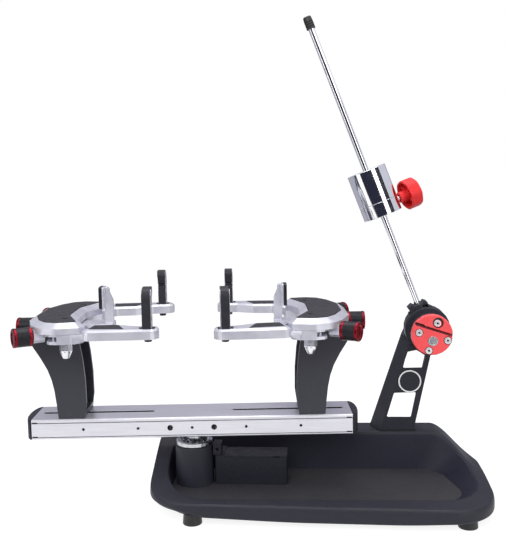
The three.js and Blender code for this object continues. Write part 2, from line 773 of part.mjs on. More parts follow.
function trayShell() {
  const [outer, rim, ledge, floor] = [trayCorners(), rimCorners(), ledgeCorners(), floorCorners()];
  const flank = FOOT_HEIGHT + TRAY_BOTTOM_RADIUS;
  const bottom = BOTTOM_SHARES.map(([across, up]) => (
    trayRing(inset(outer, TRAY_BOTTOM_RADIUS * across), () => FOOT_HEIGHT + TRAY_BOTTOM_RADIUS * up)
  ));
  const outside = (share) => (x, y) => flank + (rimHeight(x, y) - flank) * share;
  const inside = (share) => (x, y) => FLOOR_HEIGHT + (rimHeight(x, y) - FLOOR_HEIGHT) * share;
  return loft([
    trayRing(inset(outer, CAVITY_INSET), () => FLOOR_HEIGHT - FLOOR_THICKNESS),
    trayRing(inset(outer, CAVITY_INSET), () => FOOT_HEIGHT),
    ...bottom,
    ...FLANK_SHARES.map(([across, up]) => trayRing(between(outer, rim, across), outside(up))),
    trayRing(ledge, inside(LEDGE_SHARES[0])),
    trayRing(between(ledge, floor, LEDGE_EDGE_SHARE), inside(LEDGE_SHARES[1])),
    trayRing(floor, () => FLOOR_HEIGHT),
  ]);
}

// A slim plinth that levels the post's seat on the ledge.
function pedestal() {
  const left = POST_FOOT_LEFT - PEDESTAL_MARGIN;
  const right = POST_FOOT_RIGHT + PEDESTAL_MARGIN;
  const front = POST_FRONT - PEDESTAL_MARGIN;
  const back = POST_BACK + PEDESTAL_MARGIN;
  return prism(rounded([
    [left + POST_SLANT, front, PEDESTAL_RADIUS], [right, front, PEDESTAL_RADIUS],
    [right, back, PEDESTAL_RADIUS], [left, back, PEDESTAL_RADIUS],
  ]), PEDESTAL_ROOT, PEDESTAL_TOP);
}

function footShape() {
  return turned([
    [0, 0], [FOOT_RADIUS - FOOT_EDGE, 0], [FOOT_RADIUS, FOOT_EDGE],
    [FOOT_TOP_RADIUS, FOOT_HEIGHT], [0, FOOT_HEIGHT],
  ], SMALL_STEPS);
}

function addBase(machine) {
  place(machine, 'base_tray', join(trayShell(), pedestal()), MATERIALS.blackPaint);
  const places = {
    front_left_foot: [FOOT_LEFT_PLACE, -FOOT_FRONT_PLACE],
    front_right_foot: [FOOT_RIGHT_PLACE, -FOOT_FRONT_PLACE],
    back_left_foot: [FOOT_LEFT_PLACE, FOOT_BACK_PLACE],
    back_right_foot: [FOOT_RIGHT_PLACE, FOOT_BACK_PLACE],
  };
  for (const [name, [x, y]] of Object.entries(places)) {
    place(machine, name, footShape(), MATERIALS.rubber).position.set(x, y, 0);
  }
}

// Turntable bearing

const HUB_LOW = BEAM_TOP - BEAM_HEIGHT - HUB_FLANGE;
const BEARING_TOP = COLUMN_TOP + RACE_HEIGHT + BALL_RADIUS * 2;

function columnShape() {
  const bore = SPINDLE_RADIUS + BEARING_CLEARANCE;
  const bottom = BEARING_TOP - SPINDLE_LENGTH - BEARING_CLEARANCE;
  return turned([
    [0, FLOOR_HEIGHT], [COLUMN_RADIUS, FLOOR_HEIGHT], [COLUMN_RADIUS, COLUMN_TOP - COLUMN_CHAMFER],
    [COLUMN_RADIUS - COLUMN_CHAMFER, COLUMN_TOP], [bore, COLUMN_TOP], [bore, bottom], [0, bottom],
  ]);
}

function ringShape() {
  const inner = RING_RADIUS - RING_WALL;
  const edge = RING_RADIUS - COLUMN_CHAMFER;
  const top = COLUMN_TOP + RING_HEIGHT;
  return turned([
    [inner, COLUMN_TOP], [edge, COLUMN_TOP], [RING_RADIUS, COLUMN_TOP + COLUMN_CHAMFER],
    [RING_RADIUS, top - COLUMN_CHAMFER], [edge, top], [inner, top],
  ]);
}

// A lower race with a ring of balls pressed into its groove.
function bearingShape() {
  const inner = SPINDLE_RADIUS + BEARING_CLEARANCE;
  const outer = RING_RADIUS - RING_WALL - BEARING_CLEARANCE;
  const pitch = (inner + outer) / 2;
  const floor = COLUMN_TOP + RACE_HEIGHT;
  const race = turned([
    [inner, COLUMN_TOP], [outer, COLUMN_TOP], [outer, floor + RACE_WALL], [outer - RACE_WALL, floor],
    [inner + RACE_WALL, floor], [inner, floor + RACE_WALL],
  ], RACE_STEPS);
  const balls = Array.from({ length: BALL_COUNT }, (_, at) => {
    const angle = (at / BALL_COUNT) * Math.PI * 2;
    const ball = new THREE.SphereGeometry(BALL_RADIUS, BALL_STEPS, BALL_STEPS / 2);
    ball.rotateX(Math.PI / 2);
    const sunk = floor + BALL_RADIUS - GAP;
    return outward(ball.translate(Math.cos(angle) * pitch, Math.sin(angle) * pitch, sunk));
  });
  return join(race, ...balls);
}

function hubShape() {
  const top = BEAM_TOP - BEAM_HEIGHT;
  const neckLow = BEARING_TOP + GAP;
  const low = BEARING_TOP - SPINDLE_LENGTH;
  return turned([
    [0, low], [SPINDLE_RADIUS, low], [SPINDLE_RADIUS, neckLow], [HUB_NECK_RADIUS, neckLow],
    [HUB_NECK_RADIUS, HUB_LOW], [HUB_RADIUS, HUB_LOW], [HUB_RADIUS, top], [0, top],
  ]).translate(0, 0, -BEAM_TOP);
}

function addTurntableSeat(machine) {
  place(machine, 'turntable_column', columnShape(), MATERIALS.blackPaint);
  place(machine, 'turntable_ring', ringShape(), MATERIALS.steel);
  place(machine, 'turntable_bearing', bearingShape(), MATERIALS.steel);
}

// Tool box and brake

const BOX_RIM = FLOOR_HEIGHT + BOX_HEIGHT;
const LID_LEFT = BOX_LEFT + BOX_BRIDGE;
const LID_AXIS_Y = BOX_BACK - BOX_WALL - LID_KNUCKLE_RADIUS - SLIDING_CLEARANCE;
const LID_AXIS_Z = BOX_RIM - LID_KNUCKLE_RADIUS;

// The box's left end is a fixed bridge beside the lid.
function toolBoxShape() {
  const outline = [
    [BOX_LEFT, -BOX_FRONT, BOX_RADIUS], [BOX_RIGHT, -BOX_FRONT, BOX_RADIUS],
    [BOX_RIGHT, BOX_BACK, BOX_RADIUS], [BOX_LEFT, BOX_BACK, BOX_RADIUS],
  ];
  const body = prism(rounded(outline), FLOOR_HEIGHT, BOX_RIM);
  const raised = prism(rounded(outline), BOX_RIM - BOX_WALL, BOX_RIM + LID_THICKNESS);
  const bridge = block(BOX_LEFT - OVERRUN, LID_LEFT, -BOX_FRONT - OVERRUN, BOX_BACK + OVERRUN,
    BOX_RIM - BOX_WALL, BOX_RIM + LID_THICKNESS + OVERRUN);
  const hollow = block(LID_LEFT, BOX_RIGHT - BOX_WALL, -BOX_FRONT + BOX_WALL, BOX_BACK - BOX_WALL,
    FLOOR_HEIGHT + BOX_WALL, BOX_RIM + OVERRUN);
  const holeRadius = LID_PIN_RADIUS + SLIDING_CLEARANCE;
  const pinHole = alongX(rod(holeRadius, LID_LEFT - LID_PIN_LENGTH, BOX_RIGHT - BOX_SKIN));
  pinHole.translate(0, LID_AXIS_Y, LID_AXIS_Z);
  return cut(join(body, common(raised, bridge)), hollow, pinHole);
}

// The lid turns on a knuckle along its back edge, whose pins sit in the box's ends.
function lidShape() {
  const left = LID_LEFT + GAP;
  const right = BOX_RIGHT - BOX_WALL - GAP;
  const top = BOX_RIM + LID_THICKNESS;
  const panel = block(left, BOX_RIGHT, -BOX_FRONT, LID_AXIS_Y - LID_PIN_RADIUS, BOX_RIM + GAP, top);
  const lip = block(left + BOX_WALL, right - BOX_WALL, -BOX_FRONT + BOX_WALL + GAP,
    LID_AXIS_Y - LID_KNUCKLE_RADIUS, BOX_RIM - BOX_WALL, BOX_RIM + LID_THICKNESS / 2);
  const web = block(left, right, LID_AXIS_Y - LID_KNUCKLE_RADIUS, LID_AXIS_Y, LID_AXIS_Z, top);
  const knuckle = alongX(rod(LID_KNUCKLE_RADIUS, left, right)).translate(0, LID_AXIS_Y, LID_AXIS_Z);
  const pin = alongX(rod(LID_PIN_RADIUS, left - LID_PIN_LENGTH + SLIDING_CLEARANCE, right + LID_PIN_SEAT));
  pin.translate(0, LID_AXIS_Y, LID_AXIS_Z);
  const slotRight = BOX_RIGHT - LID_SLOT_INSET;
  const slot = block(slotRight - LID_SLOT_WIDTH, slotRight, -BOX_FRONT - OVERRUN, -BOX_FRONT + BOX_WALL,
    BOX_RIM, BOX_RIM + LID_SLOT_HEIGHT);
  return cut(join(panel, lip, web, knuckle, pin), slot).translate(0, -LID_AXIS_Y, -LID_AXIS_Z);
}

function brakeShape() {
  const low = BOX_RIM + LID_THICKNESS + GAP;
  const half = BRAKE_DEPTH / 2;
  const body = block(BRAKE_LEFT, BRAKE_LEFT + BRAKE_WIDTH, -half, half, low, low + BRAKE_HEIGHT);
  const bore = alongY(rod(BRAKE_BORE_RADIUS, -half - OVERRUN, -half + BRAKE_BORE_DEPTH));
  bore.translate(BRAKE_LEFT + BRAKE_WIDTH / 2, 0, low + BRAKE_HEIGHT / 2);
  return cut(body, bore);
}

function addToolBox(machine) {
  place(machine, 'tool_box', toolBoxShape(), MATERIALS.blackPlastic);
  const lid = place(machine, 'tool_box_lid', lidShape(), MATERIALS.blackPlastic);
  lid.position.set(0, LID_AXIS_Y, LID_AXIS_Z);
  place(machine, 'brake_block', brakeShape(), MATERIALS.blackPlastic);
}

// Beam

function beamSection() {
  const half = BEAM_WIDTH / 2;
  const side = [
    [half, -BEAM_HEIGHT, BEAM_EDGE_RADIUS],
    [half, -LOWER_GROOVE_DROP - GROOVE_HEIGHT], [half - GROOVE_DEPTH, -LOWER_GROOVE_DROP - GROOVE_HEIGHT],
    [half - GROOVE_DEPTH, -LOWER_GROOVE_DROP], [half, -LOWER_GROOVE_DROP],
    [half, -UPPER_GROOVE_DROP - GROOVE_HEIGHT], [half - GROOVE_DEPTH, -UPPER_GROOVE_DROP - GROOVE_HEIGHT],
    [half - GROOVE_DEPTH, -UPPER_GROOVE_DROP], [half, -UPPER_GROOVE_DROP],
    [half, 0, BEAM_EDGE_RADIUS],
  ];
  const other = side.map(([y, z, radius]) => [-y, z, radius]).reverse();
  return rounded([...side, ...other], SMALL_CORNER_STEPS);
}

// The three cells between the beam's walls and webs.
function beamCells(clearance) {
  const low = -BEAM_HEIGHT + BEAM_WALL + clearance;
  const high = -BEAM_WALL - clearance;
  const web = BEAM_WALL / 2 + clearance;
  const wall = BEAM_WIDTH / 2 - BEAM_WALL - clearance;
  const cell = (near, far) => rounded([
    [near, low, BEAM_EDGE_RADIUS], [far, low, BEAM_EDGE_RADIUS],
    [far, high, BEAM_EDGE_RADIUS], [near, high, BEAM_EDGE_RADIUS],
  ], SMALL_CORNER_STEPS);
  return [
    cell(-wall, -BEAM_WEB_PLACE - web),
    cell(-BEAM_WEB_PLACE + web, BEAM_WEB_PLACE - web),
    cell(BEAM_WEB_PLACE + web, wall),
  ];
}

function beamShape() {
  const body = prismAlongX(beamSection(), -BEAM_LENGTH / 2, BEAM_LENGTH / 2, beamCells(0));
  const half = SLOT_WIDTH / 2;
  const face = -BEAM_WIDTH / 2;
  const slot = prism(rounded([
    [SLOT_INNER_END, -half, half], [SLOT_OUTER_END, -half, half],
    [SLOT_OUTER_END, half, half], [SLOT_INNER_END, half, half],
  ]), -BEAM_CUT_DEPTH, OVERRUN);
  const hole = (x, radius) => {
    const drill = alongY(rod(radius, face - OVERRUN, face + BEAM_CUT_DEPTH, FINE_STEPS));
    return drill.translate(x, 0, -BEAM_HOLE_DROP);
  };
  const sides = [
    slot, hole(LARGE_HOLE_PLACE, LARGE_HOLE_RADIUS),
    ...SMALL_HOLE_PLACES.map((x) => hole(x, SMALL_HOLE_RADIUS)),
  ].flatMap((tool) => [tool, mirrored(tool, -1, 1)]);
  return cut(body, hole(0, SMALL_HOLE_RADIUS), ...sides);
}

// The cap bulges over the beam's end and plugs into its two outer cells.
function endCapShape(side) {
  const end = BEAM_LENGTH / 2;
  const inner = end + GAP;
  const half = BEAM_WIDTH / 2;
  const cover = prism(withinBox(END_CAP_SHARES, inner, end + END_CAP_LENGTH, -half, half), -BEAM_HEIGHT, 0);
  const cells = beamCells(SLIDING_CLEARANCE);
  const plug = (cell) => prismAlongX(cell, end - END_PLUG_LENGTH, inner + END_PLUG_SEAT);
  return mirrored(join(cover, plug(cells[0]), plug(cells[2])), side, 1);
}

// Tower

function towerReach(height) {
  const shares = TOWER_OUTER_SHARES;
  const up = height / TOWER_HEIGHT;
  const at = shares.findIndex(([, share]) => share >= up);
  if (at <= 0) {
    return shares[0][0] * TOWER_REACH;
  }
  const [lowReach, lowShare] = shares[at - 1];
  const [highReach, highShare] = shares[at];
  return TOWER_REACH * (lowReach + (highReach - lowReach) * (up - lowShare) / (highShare - lowShare));
}

function towerShape() {
  const shares = [...TOWER_OUTER_SHARES, ...TOWER_INNER_SHARES];
  const outer = shares.map(([out, up]) => [out * TOWER_REACH, up * TOWER_HEIGHT]);
  const half = TOWER_WIDTH / 2;
  const blank = prismAlongY(outer, -half, half);
  const front = rounded([
    [-TOWER_REACH, -half, TOWER_EDGE_RADIUS], [TOWER_REACH * 2, -half, TOWER_EDGE_RADIUS],
    [TOWER_REACH * 2, half, TOWER_EDGE_RADIUS], [-TOWER_REACH, half, TOWER_EDGE_RADIUS],
  ]);
  const body = common(blank, prism(front, 0, TOWER_HEIGHT));
  const recessTop = TOWER_HEIGHT - RECESS_DROP;
  const levels = TOWER_OUTER_SHARES.map(([, up]) => up * TOWER_HEIGHT)
    .filter((height) => height > TOWER_FLOOR + RECESS_RADIUS && height < recessTop);
  const wallSide = levels.map((height) => [towerReach(height) - TOWER_WALL, height]);
  const recess = rounded([
    [-TOWER_REACH, TOWER_FLOOR],
    [towerReach(TOWER_FLOOR) - TOWER_WALL, TOWER_FLOOR, RECESS_RADIUS], ...wallSide,
    [towerReach(recessTop) - TOWER_WALL, recessTop, RECESS_RADIUS],
    [-TOWER_REACH, recessTop],
  ]);
  const channelHalf = CENTER_SLIDE_WIDTH / 2 + SLIDING_CLEARANCE;
  const channelLow = TOWER_HEIGHT - CHANNEL_DEPTH;
  const above = TOWER_HEIGHT + OVERRUN;
  const channel = block(-TOWER_REACH, CHANNEL_END, -channelHalf, channelHalf, channelLow, above);
  const screwRoom = SCREW_RADIUS + SLIDING_CLEARANCE;
  const screwHole = alongX(rod(screwRoom, CHANNEL_END - OVERRUN, TOWER_REACH + OVERRUN));
  screwHole.translate(0, 0, TOWER_HEIGHT - KNOB_DROP);
  const boltHole = rod(CLAMP_SHANK_RADIUS + SLIDING_CLEARANCE, -OVERRUN, TOWER_FLOOR + OVERRUN);
  return cut(body, prismAlongY(recess, -half + TOWER_WALL, half - TOWER_WALL), channel, screwHole, boltHole);
}

// A screw head above the tower's floor, its shank in the beam's slot and a square nut below.
function clampBoltShape() {
  const nutTop = -BEAM_WALL - GAP;
  const half = CLAMP_NUT_SIZE / 2;
  const headLow = TOWER_FLOOR + GAP;
  const head = turned([
    [0, headLow], [CLAMP_WASHER_RADIUS, headLow], [CLAMP_WASHER_RADIUS, headLow + CLAMP_WASHER_HEIGHT],
    [CLAMP_HEAD_RADIUS, headLow + CLAMP_WASHER_HEIGHT], [CLAMP_HEAD_RADIUS, headLow + CLAMP_HEAD_HEIGHT],
    [0, headLow + CLAMP_HEAD_HEIGHT],
  ], FINE_STEPS);
  const shank = rod(CLAMP_SHANK_RADIUS, nutTop - CLAMP_NUT_HEIGHT / 2, headLow + CLAMP_HEAD_HEIGHT / 2);
  const nut = block(-half, half, -half, half, nutTop - CLAMP_NUT_HEIGHT, nutTop);
  return join(head, shank, nut);
}

// Head plate

function plateCorners() {
  const front = [
    [-PLATE_INNER, -PLATE_INNER_HALF, PLATE_BEND_RADIUS],
    [-HORN_INNER, -HORN_INNER_HALF, HORN_RADIUS],
    [-HORN_TIP, -HORN_TIP_HALF, HORN_RADIUS],
    [0, -PLATE_HALF_WIDTH, PLATE_BEND_RADIUS],
    [PLATE_FRONT_CORNER, -PLATE_FRONT_CORNER_HALF, PLATE_BEND_RADIUS],
    [PLATE_SIDE_CORNER, -PLATE_SIDE_CORNER_HALF, PLATE_BEND_RADIUS / 2],
    [PLATE_OUTER, -PLATE_OUTER_HALF, PLATE_BEND_RADIUS / 2],
  ];
  return mirroredCorners(front);
}

const PLATE_LOW = TOWER_HEIGHT;
const PLATE_TOP = PLATE_LOW + PLATE_THICKNESS;
const KNOB_HEIGHT = TOWER_HEIGHT - KNOB_DROP;
const LOBE_LOW = TOWER_HEIGHT - LOBE_DROP;
const ARM_LOW = TOWER_HEIGHT - ARM_DROP;
const ARM_TOP = ARM_LOW + ARM_THICKNESS;

// A lug below the plate that a side knob's screw runs through, built for the back.
function screwLug() {
  const barrel = alongX(rod(LUG_RADIUS, -LUG_LENGTH, 0));
  const bridge = block(-LUG_LENGTH, 0, -LUG_RADIUS, LUG_RADIUS, 0, KNOB_DROP + PLATE_CHAMFER_DROP / 2);
  return join(barrel, bridge).rotateZ(SIDE_KNOB_TURN).translate(SIDE_KNOB_PLACE, SIDE_KNOB_HALF, KNOB_HEIGHT);
}

function screwLugBore() {
  const bore = alongX(rod(SCREW_RADIUS + SLIDING_CLEARANCE, -LUG_LENGTH - OVERRUN, OVERRUN));
  return bore.rotateZ(SIDE_KNOB_TURN).translate(SIDE_KNOB_PLACE, SIDE_KNOB_HALF, KNOB_HEIGHT);
}

function headPlateShape() {
  const corners = plateCorners();
  const plate = chamferedPlate(corners, PLATE_LOW, PLATE_TOP, PLATE_CHAMFER, PLATE_CHAMFER_DROP);
  const lug = screwLug();
  const recessLow = PLATE_TOP - PAD_RECESS;
  const groove = rounded(inset(corners, PLATE_CHAMFER + PAD_MARGIN - PAD_GROOVE));
  const recess = prism(groove, recessLow, PLATE_TOP + OVERRUN);
  const atPivot = (shape) => moved(shape, -PIVOT_INSET, PIVOT_HALF, 0);
  const bolt = atPivot(rod(PIVOT_RADIUS + SLIDING_CLEARANCE, PLATE_LOW - OVERRUN, PLATE_TOP));
  const seat = recessLow - GAP - PIVOT_HEAD_HEIGHT - SLIDING_CLEARANCE;
  const head = atPivot(rod(PIVOT_HEAD_RADIUS + SLIDING_CLEARANCE, seat, PLATE_TOP));
  const bore = screwLugBore();
  const both = (shape) => [shape, mirrored(shape, 1, -1)];
  return cut(join(plate, ...both(lug)), recess, ...both(bolt), ...both(head), ...both(bore));
}

function headPadShape() {
  const outline = rounded(inset(plateCorners(), PLATE_CHAMFER + PAD_MARGIN));
  const pad = prism(outline, PLATE_TOP - PAD_RECESS + GAP, PLATE_TOP + PAD_PROUD);
  const window = rod(PIVOT_WINDOW_RADIUS, PLATE_TOP - PAD_RECESS, PLATE_TOP + OVERRUN);
  window.translate(-PIVOT_INSET, PIVOT_HALF, 0);
  return cut(pad, window, mirrored(window, 1, -1));
}

// The bolt that an arm turns on, with its head under the pad and a long acorn nut below the arm.
function pivotBoltShape() {
  const headTop = PLATE_TOP - PAD_RECESS - GAP;
  const headLow = headTop - PIVOT_HEAD_HEIGHT;
  const nutTop = LOBE_LOW - GAP;
  const head = rod(PIVOT_HEAD_RADIUS, headLow, headTop);
  const socket = rod(PIVOT_SOCKET_RADIUS, headTop - PIVOT_HEAD_DROP, headTop + OVERRUN, HEX_STEPS);
  const shank = rod(PIVOT_RADIUS, nutTop - NUT_FLANGE_HEIGHT, headLow + PIVOT_HEAD_HEIGHT / 4);
  const flange = rod(NUT_FLANGE_RADIUS, nutTop - NUT_FLANGE_HEIGHT, nutTop);
  const hexLow = nutTop - NUT_HEX_HEIGHT;
  const nut = turned([
    [0, nutTop - NUT_HEIGHT], [NUT_TIP_RADIUS, nutTop - NUT_HEIGHT],
    [NUT_TIP_RADIUS + (NUT_FLANGE_RADIUS - NUT_TIP_RADIUS) / 2, nutTop - NUT_HEIGHT + NUT_TIP_RADIUS],
    [NUT_FLANGE_RADIUS - GAP, hexLow], [NUT_FLANGE_RADIUS - GAP, nutTop - NUT_FLANGE_HEIGHT / 2],
    [0, nutTop - NUT_FLANGE_HEIGHT / 2],
  ], FINE_STEPS);
  const eye = alongY(rod(SCREW_RADIUS / 2, -NUT_FLANGE_RADIUS, NUT_FLANGE_RADIUS, HEX_STEPS));
  eye.translate(0, 0, nutTop - NUT_HEIGHT + NUT_TIP_RADIUS);
  return cut(join(cut(head, socket), shank, flange, nut), eye);
}

// An adjuster knob along X from its seat, with its screw reaching back through the seat.
function knobShape(screwLength) {
  const ringStart = KNOB_NECK;
  const gripStart = ringStart + KNOB_RING;
  const gripEnd = gripStart + KNOB_GRIP;
  const end = gripEnd + KNOB_RING;
  const body = fluted([
    [KNOB_NECK_RADIUS, GAP], [KNOB_NECK_RADIUS, ringStart], [KNOB_RING_RADIUS, ringStart],
    [KNOB_RING_RADIUS, gripStart - KNOB_EDGE], [KNOB_GRIP_RADIUS, gripStart, KNOB_FLUTE],
    [KNOB_GRIP_RADIUS, gripEnd, KNOB_FLUTE], [KNOB_RING_RADIUS, gripEnd + KNOB_EDGE],
    [KNOB_RING_RADIUS, end - KNOB_EDGE], [KNOB_RING_RADIUS - KNOB_EDGE, end],
    [KNOB_CAP_RADIUS + KNOB_EDGE, end],
    [KNOB_CAP_RADIUS, end - KNOB_CAP_DROP],
  ], KNOB_TEETH);
  return alongX(join(body, rod(SCREW_RADIUS, -screwLength, KNOB_NECK, FINE_STEPS)));
}

// Arm, built for the back in the tower's own places

const ARM_NEAR = SUPPORT_SLOT_HALF - ARM_NEAR_MARGIN;
const ARM_FAR = SUPPORT_SLOT_HALF + ARM_FAR_MARGIN;

function lobeShape() {
  const { left, right, near, far } = LOBE_CORNERS;
  const outline = rounded(withinBox(LOBE_SHARES, -left, right, near, far, LOBE_RADIUS), SMALL_CORNER_STEPS);
  return prism(outline, LOBE_LOW, PLATE_LOW - LOBE_GAP);
}

function armShape() {
  const corners = (shares) => withinBox(shares, -ARM_TIP, -ARM_ROOT, ARM_NEAR, ARM_FAR, ARM_RADIUS);
  const outline = corners(ARM_SHARES);
  const raised = chamferedPlate(outline, ARM_LOW, ARM_TOP, ARM_CHAMFER, ARM_CHAMFER, SMALL_CORNER_STEPS);
  const web = prism(rounded(corners(WEB_SHARES), SMALL_CORNER_STEPS), ARM_LOW, PLATE_LOW - LOBE_GAP);
  const gusset = prismAlongY([
    [-GUSSET_START, ARM_LOW], [-GUSSET_END, LOBE_LOW], [-GUSSET_END, ARM_LOW + ARM_CHAMFER],
    [-GUSSET_START, ARM_LOW + ARM_CHAMFER],
  ], SUPPORT_SLOT_HALF - GUSSET_NEAR_MARGIN, SUPPORT_SLOT_HALF - GUSSET_FAR_MARGIN);
  const forkLow = KNOB_HEIGHT - FORK_HEIGHT / 2;
  const forkHigh = KNOB_HEIGHT + FORK_HEIGHT / 2;
  const { right, far } = LOBE_CORNERS;
  const end = right + OVERRUN;
  const forkFront = block(-FORK_FRONT_START, end, FORK_FRONT_NEAR, far + OVERRUN, forkLow, forkHigh);
  const fork = block(FORK_START, end, FORK_NEAR, FORK_FRONT_NEAR + OVERRUN, forkLow, forkHigh);
  const post = moved(rod(FORK_POST_RADIUS, forkLow - FORK_POST_SEAT, forkHigh + FORK_POST_SEAT, HEX_STEPS),
    FORK_POST_PLACE, far - FORK_POST_INSET, 0);
  const pivot = moved(rod(PIVOT_RADIUS + SLIDING_CLEARANCE, LOBE_LOW - OVERRUN, PLATE_LOW + OVERRUN),
    -PIVOT_INSET, PIVOT_HALF, 0);
  const padRecess = prism(rounded(inset(armPadCorners(), -GAP), SMALL_CORNER_STEPS),
    ARM_TOP - ARM_PAD_RECESS, ARM_TOP + OVERRUN);
  const slotHalf = SUPPORT_SLOT_WIDTH / 2;
  const [slotNear, slotFar] = [SUPPORT_SLOT_HALF - slotHalf, SUPPORT_SLOT_HALF + slotHalf];
  const slot = prism(rounded([
    [-SUPPORT_SLOT_START, slotNear, slotHalf], [-SUPPORT_SLOT_END, slotNear, slotHalf],
    [-SUPPORT_SLOT_END, slotFar, slotHalf], [-SUPPORT_SLOT_START, slotFar, slotHalf],
  ]), ARM_LOW - OVERRUN, ARM_TOP + OVERRUN);
  const body = cut(join(lobeShape(), raised, web, gusset), forkFront, fork);
  return cut(join(body, post), pivot, padRecess, slot);
}

// Counter-clockwise, like every outline that is inset.
function armPadCorners() {
  return withinBox(ARM_PAD_SHARES, -ARM_TIP, -ARM_ROOT, ARM_NEAR, ARM_FAR, ARM_PAD_CORNER);
}

// A ribbed inlay in the arm's top.
function armPadShape() {
  const low = ARM_TOP - ARM_PAD_RECESS + GAP;
  const high = ARM_TOP + ARM_PAD_PROUD;
  const pad = prism(rounded(armPadCorners(), SMALL_CORNER_STEPS), low, high);
  const across = (share) => THREE.MathUtils.lerp(ARM_NEAR, ARM_FAR, share);
  const [near, far] = [across(ARM_PAD_SHARES[1][1]), across(ARM_PAD_SHARES[0][1])];
  const pitch = (far - near) / (ARM_PAD_RIBS + 1);
  const grooves = Array.from({ length: ARM_PAD_RIBS }, (_, at) => {
    const y = near + pitch * (at + 1);
    return block(-ARM_TIP, 0, y - ARM_PAD_RIB, y + ARM_PAD_RIB, high - ARM_PAD_RIB, high + OVERRUN);
  });
  return cut(pad, ...grooves);
}

// A hooked support that holds the racket's side, with its screw through the arm's slot.
function sideSupportShape() {
  const low = ARM_TOP + GAP;
  const high = low + SUPPORT_HEIGHT;
  const inner = SUPPORT_SLOT_HALF - SUPPORT_FACE;
  const outer = inner + SUPPORT_DEPTH;
  const hook = withinBox(SUPPORT_HOOK_SHARES, inner, outer, low, high, SUPPORT_EDGE_RADIUS);
  const profile = rounded([[inner, low], [outer, low], [outer, high, SUPPORT_BACK_RADIUS], ...hook]);
  const body = prismAlongX(profile, -SUPPORT_THICKNESS / 2, SUPPORT_THICKNESS / 2);
  const headTop = ARM_LOW - GAP;
  const shank = rod(SUPPORT_SHANK_RADIUS, headTop - SUPPORT_HEAD_HEIGHT / 2, low + SUPPORT_SHANK_RADIUS);
  const head = rod(SUPPORT_HEAD_RADIUS, headTop - SUPPORT_HEAD_HEIGHT, headTop, FINE_STEPS);
  const screw = join(shank, head).translate(0, SUPPORT_SLOT_HALF, 0);
  return join(body, screw).translate(-SUPPORT_PLACE, 0, 0);
}

// Centre support, whose blade stands on a slide that runs in the tower's channel.
function centerSupportShape() {
  const low = TOWER_HEIGHT - CHANNEL_DEPTH + GAP;
  const slideTop = low + CENTER_SLIDE_HEIGHT;
  const half = CENTER_SLIDE_WIDTH / 2;
  const slide = block(-CENTER_SLIDE_INNER, CENTER_SLIDE_OUTER, -half, half, low, slideTop);
  const top = TOWER_HEIGHT + BLADE_RISE;
  const blade = prismAlongY([
    [-CENTER_SLIDE_INNER, low], [-BLADE_OUTER, low], [-BLADE_OUTER, top],
    [-BLADE_TOP_INNER + BLADE_CHAMFER, top], [-BLADE_TOP_INNER, top - BLADE_CHAMFER],
    [-BLADE_TOP_INNER, top - BLADE_STEP], [-CENTER_SLIDE_INNER, top - BLADE_STEP - BLADE_SHOULDER],
  ], -BLADE_THICKNESS / 2, BLADE_THICKNESS / 2);
  const flange = prismAlongX(flangeOutline(), -BLADE_OUTER, -BLADE_OUTER + FLANGE_THICKNESS);
  const bore = alongX(rod(SCREW_RADIUS + SLIDING_CLEARANCE, -CENTER_BORE_END, CENTER_SLIDE_OUTER + OVERRUN));
  bore.translate(0, 0, low + CENTER_SLIDE_HEIGHT / 2);
  return cut(join(slide, blade, flange), bore);
}

function flangeOutline() {
  const half = FLANGE_WIDTH / 2;
  const low = TOWER_HEIGHT + FLANGE_RISE;
  const high = low + FLANGE_HEIGHT;
  return rounded([
    [-half, low, FLANGE_RADIUS], [half, low, FLANGE_RADIUS],
    [half, high, FLANGE_RADIUS], [-half, high, FLANGE_RADIUS],
  ]);
}

function centerPadShape() {
  const inner = -BLADE_OUTER + FLANGE_THICKNESS + GAP;
  return prismAlongX(flangeOutline(), inner, inner + CENTER_PAD_THICKNESS);
}

function addArm(head, name, side, face) {
  const setting = ARM_SETTINGS[name];
  const arm = new THREE.Group();
  arm.position.set(-side * PIVOT_INSET, face * PIVOT_HALF, 0);
  arm.rotation.z = -side * face * setting.swing;
  head.add(arm);
  const seated = (geometry) => (
    mirrored(geometry, side, face).translate(side * PIVOT_INSET, -face * PIVOT_HALF, 0)
  );
  place(arm, `${name}_arm`, seated(armShape()), MATERIALS.castMetal);
  place(arm, `${name}_arm_pad`, seated(armPadShape()), MATERIALS.padRubber);
  const support = seated(sideSupportShape()).translate(side * setting.support, 0, 0);
  place(arm, `${name}_side_support`, support, MATERIALS.blackPlastic);
  const bolt = mirrored(pivotBoltShape(), side, face).translate(-side * PIVOT_INSET, face * PIVOT_HALF, 0);
  place(head, `${name}_pivot_bolt`, bolt, MATERIALS.steel);
  const knob = knobShape(SIDE_SCREW_LENGTH).rotateZ(SIDE_KNOB_TURN);
  knob.translate(SIDE_KNOB_PLACE, SIDE_KNOB_HALF, KNOB_HEIGHT);
  place(head, `${name}_knob`, mirrored(knob, side, face), MATERIALS.knob);
}

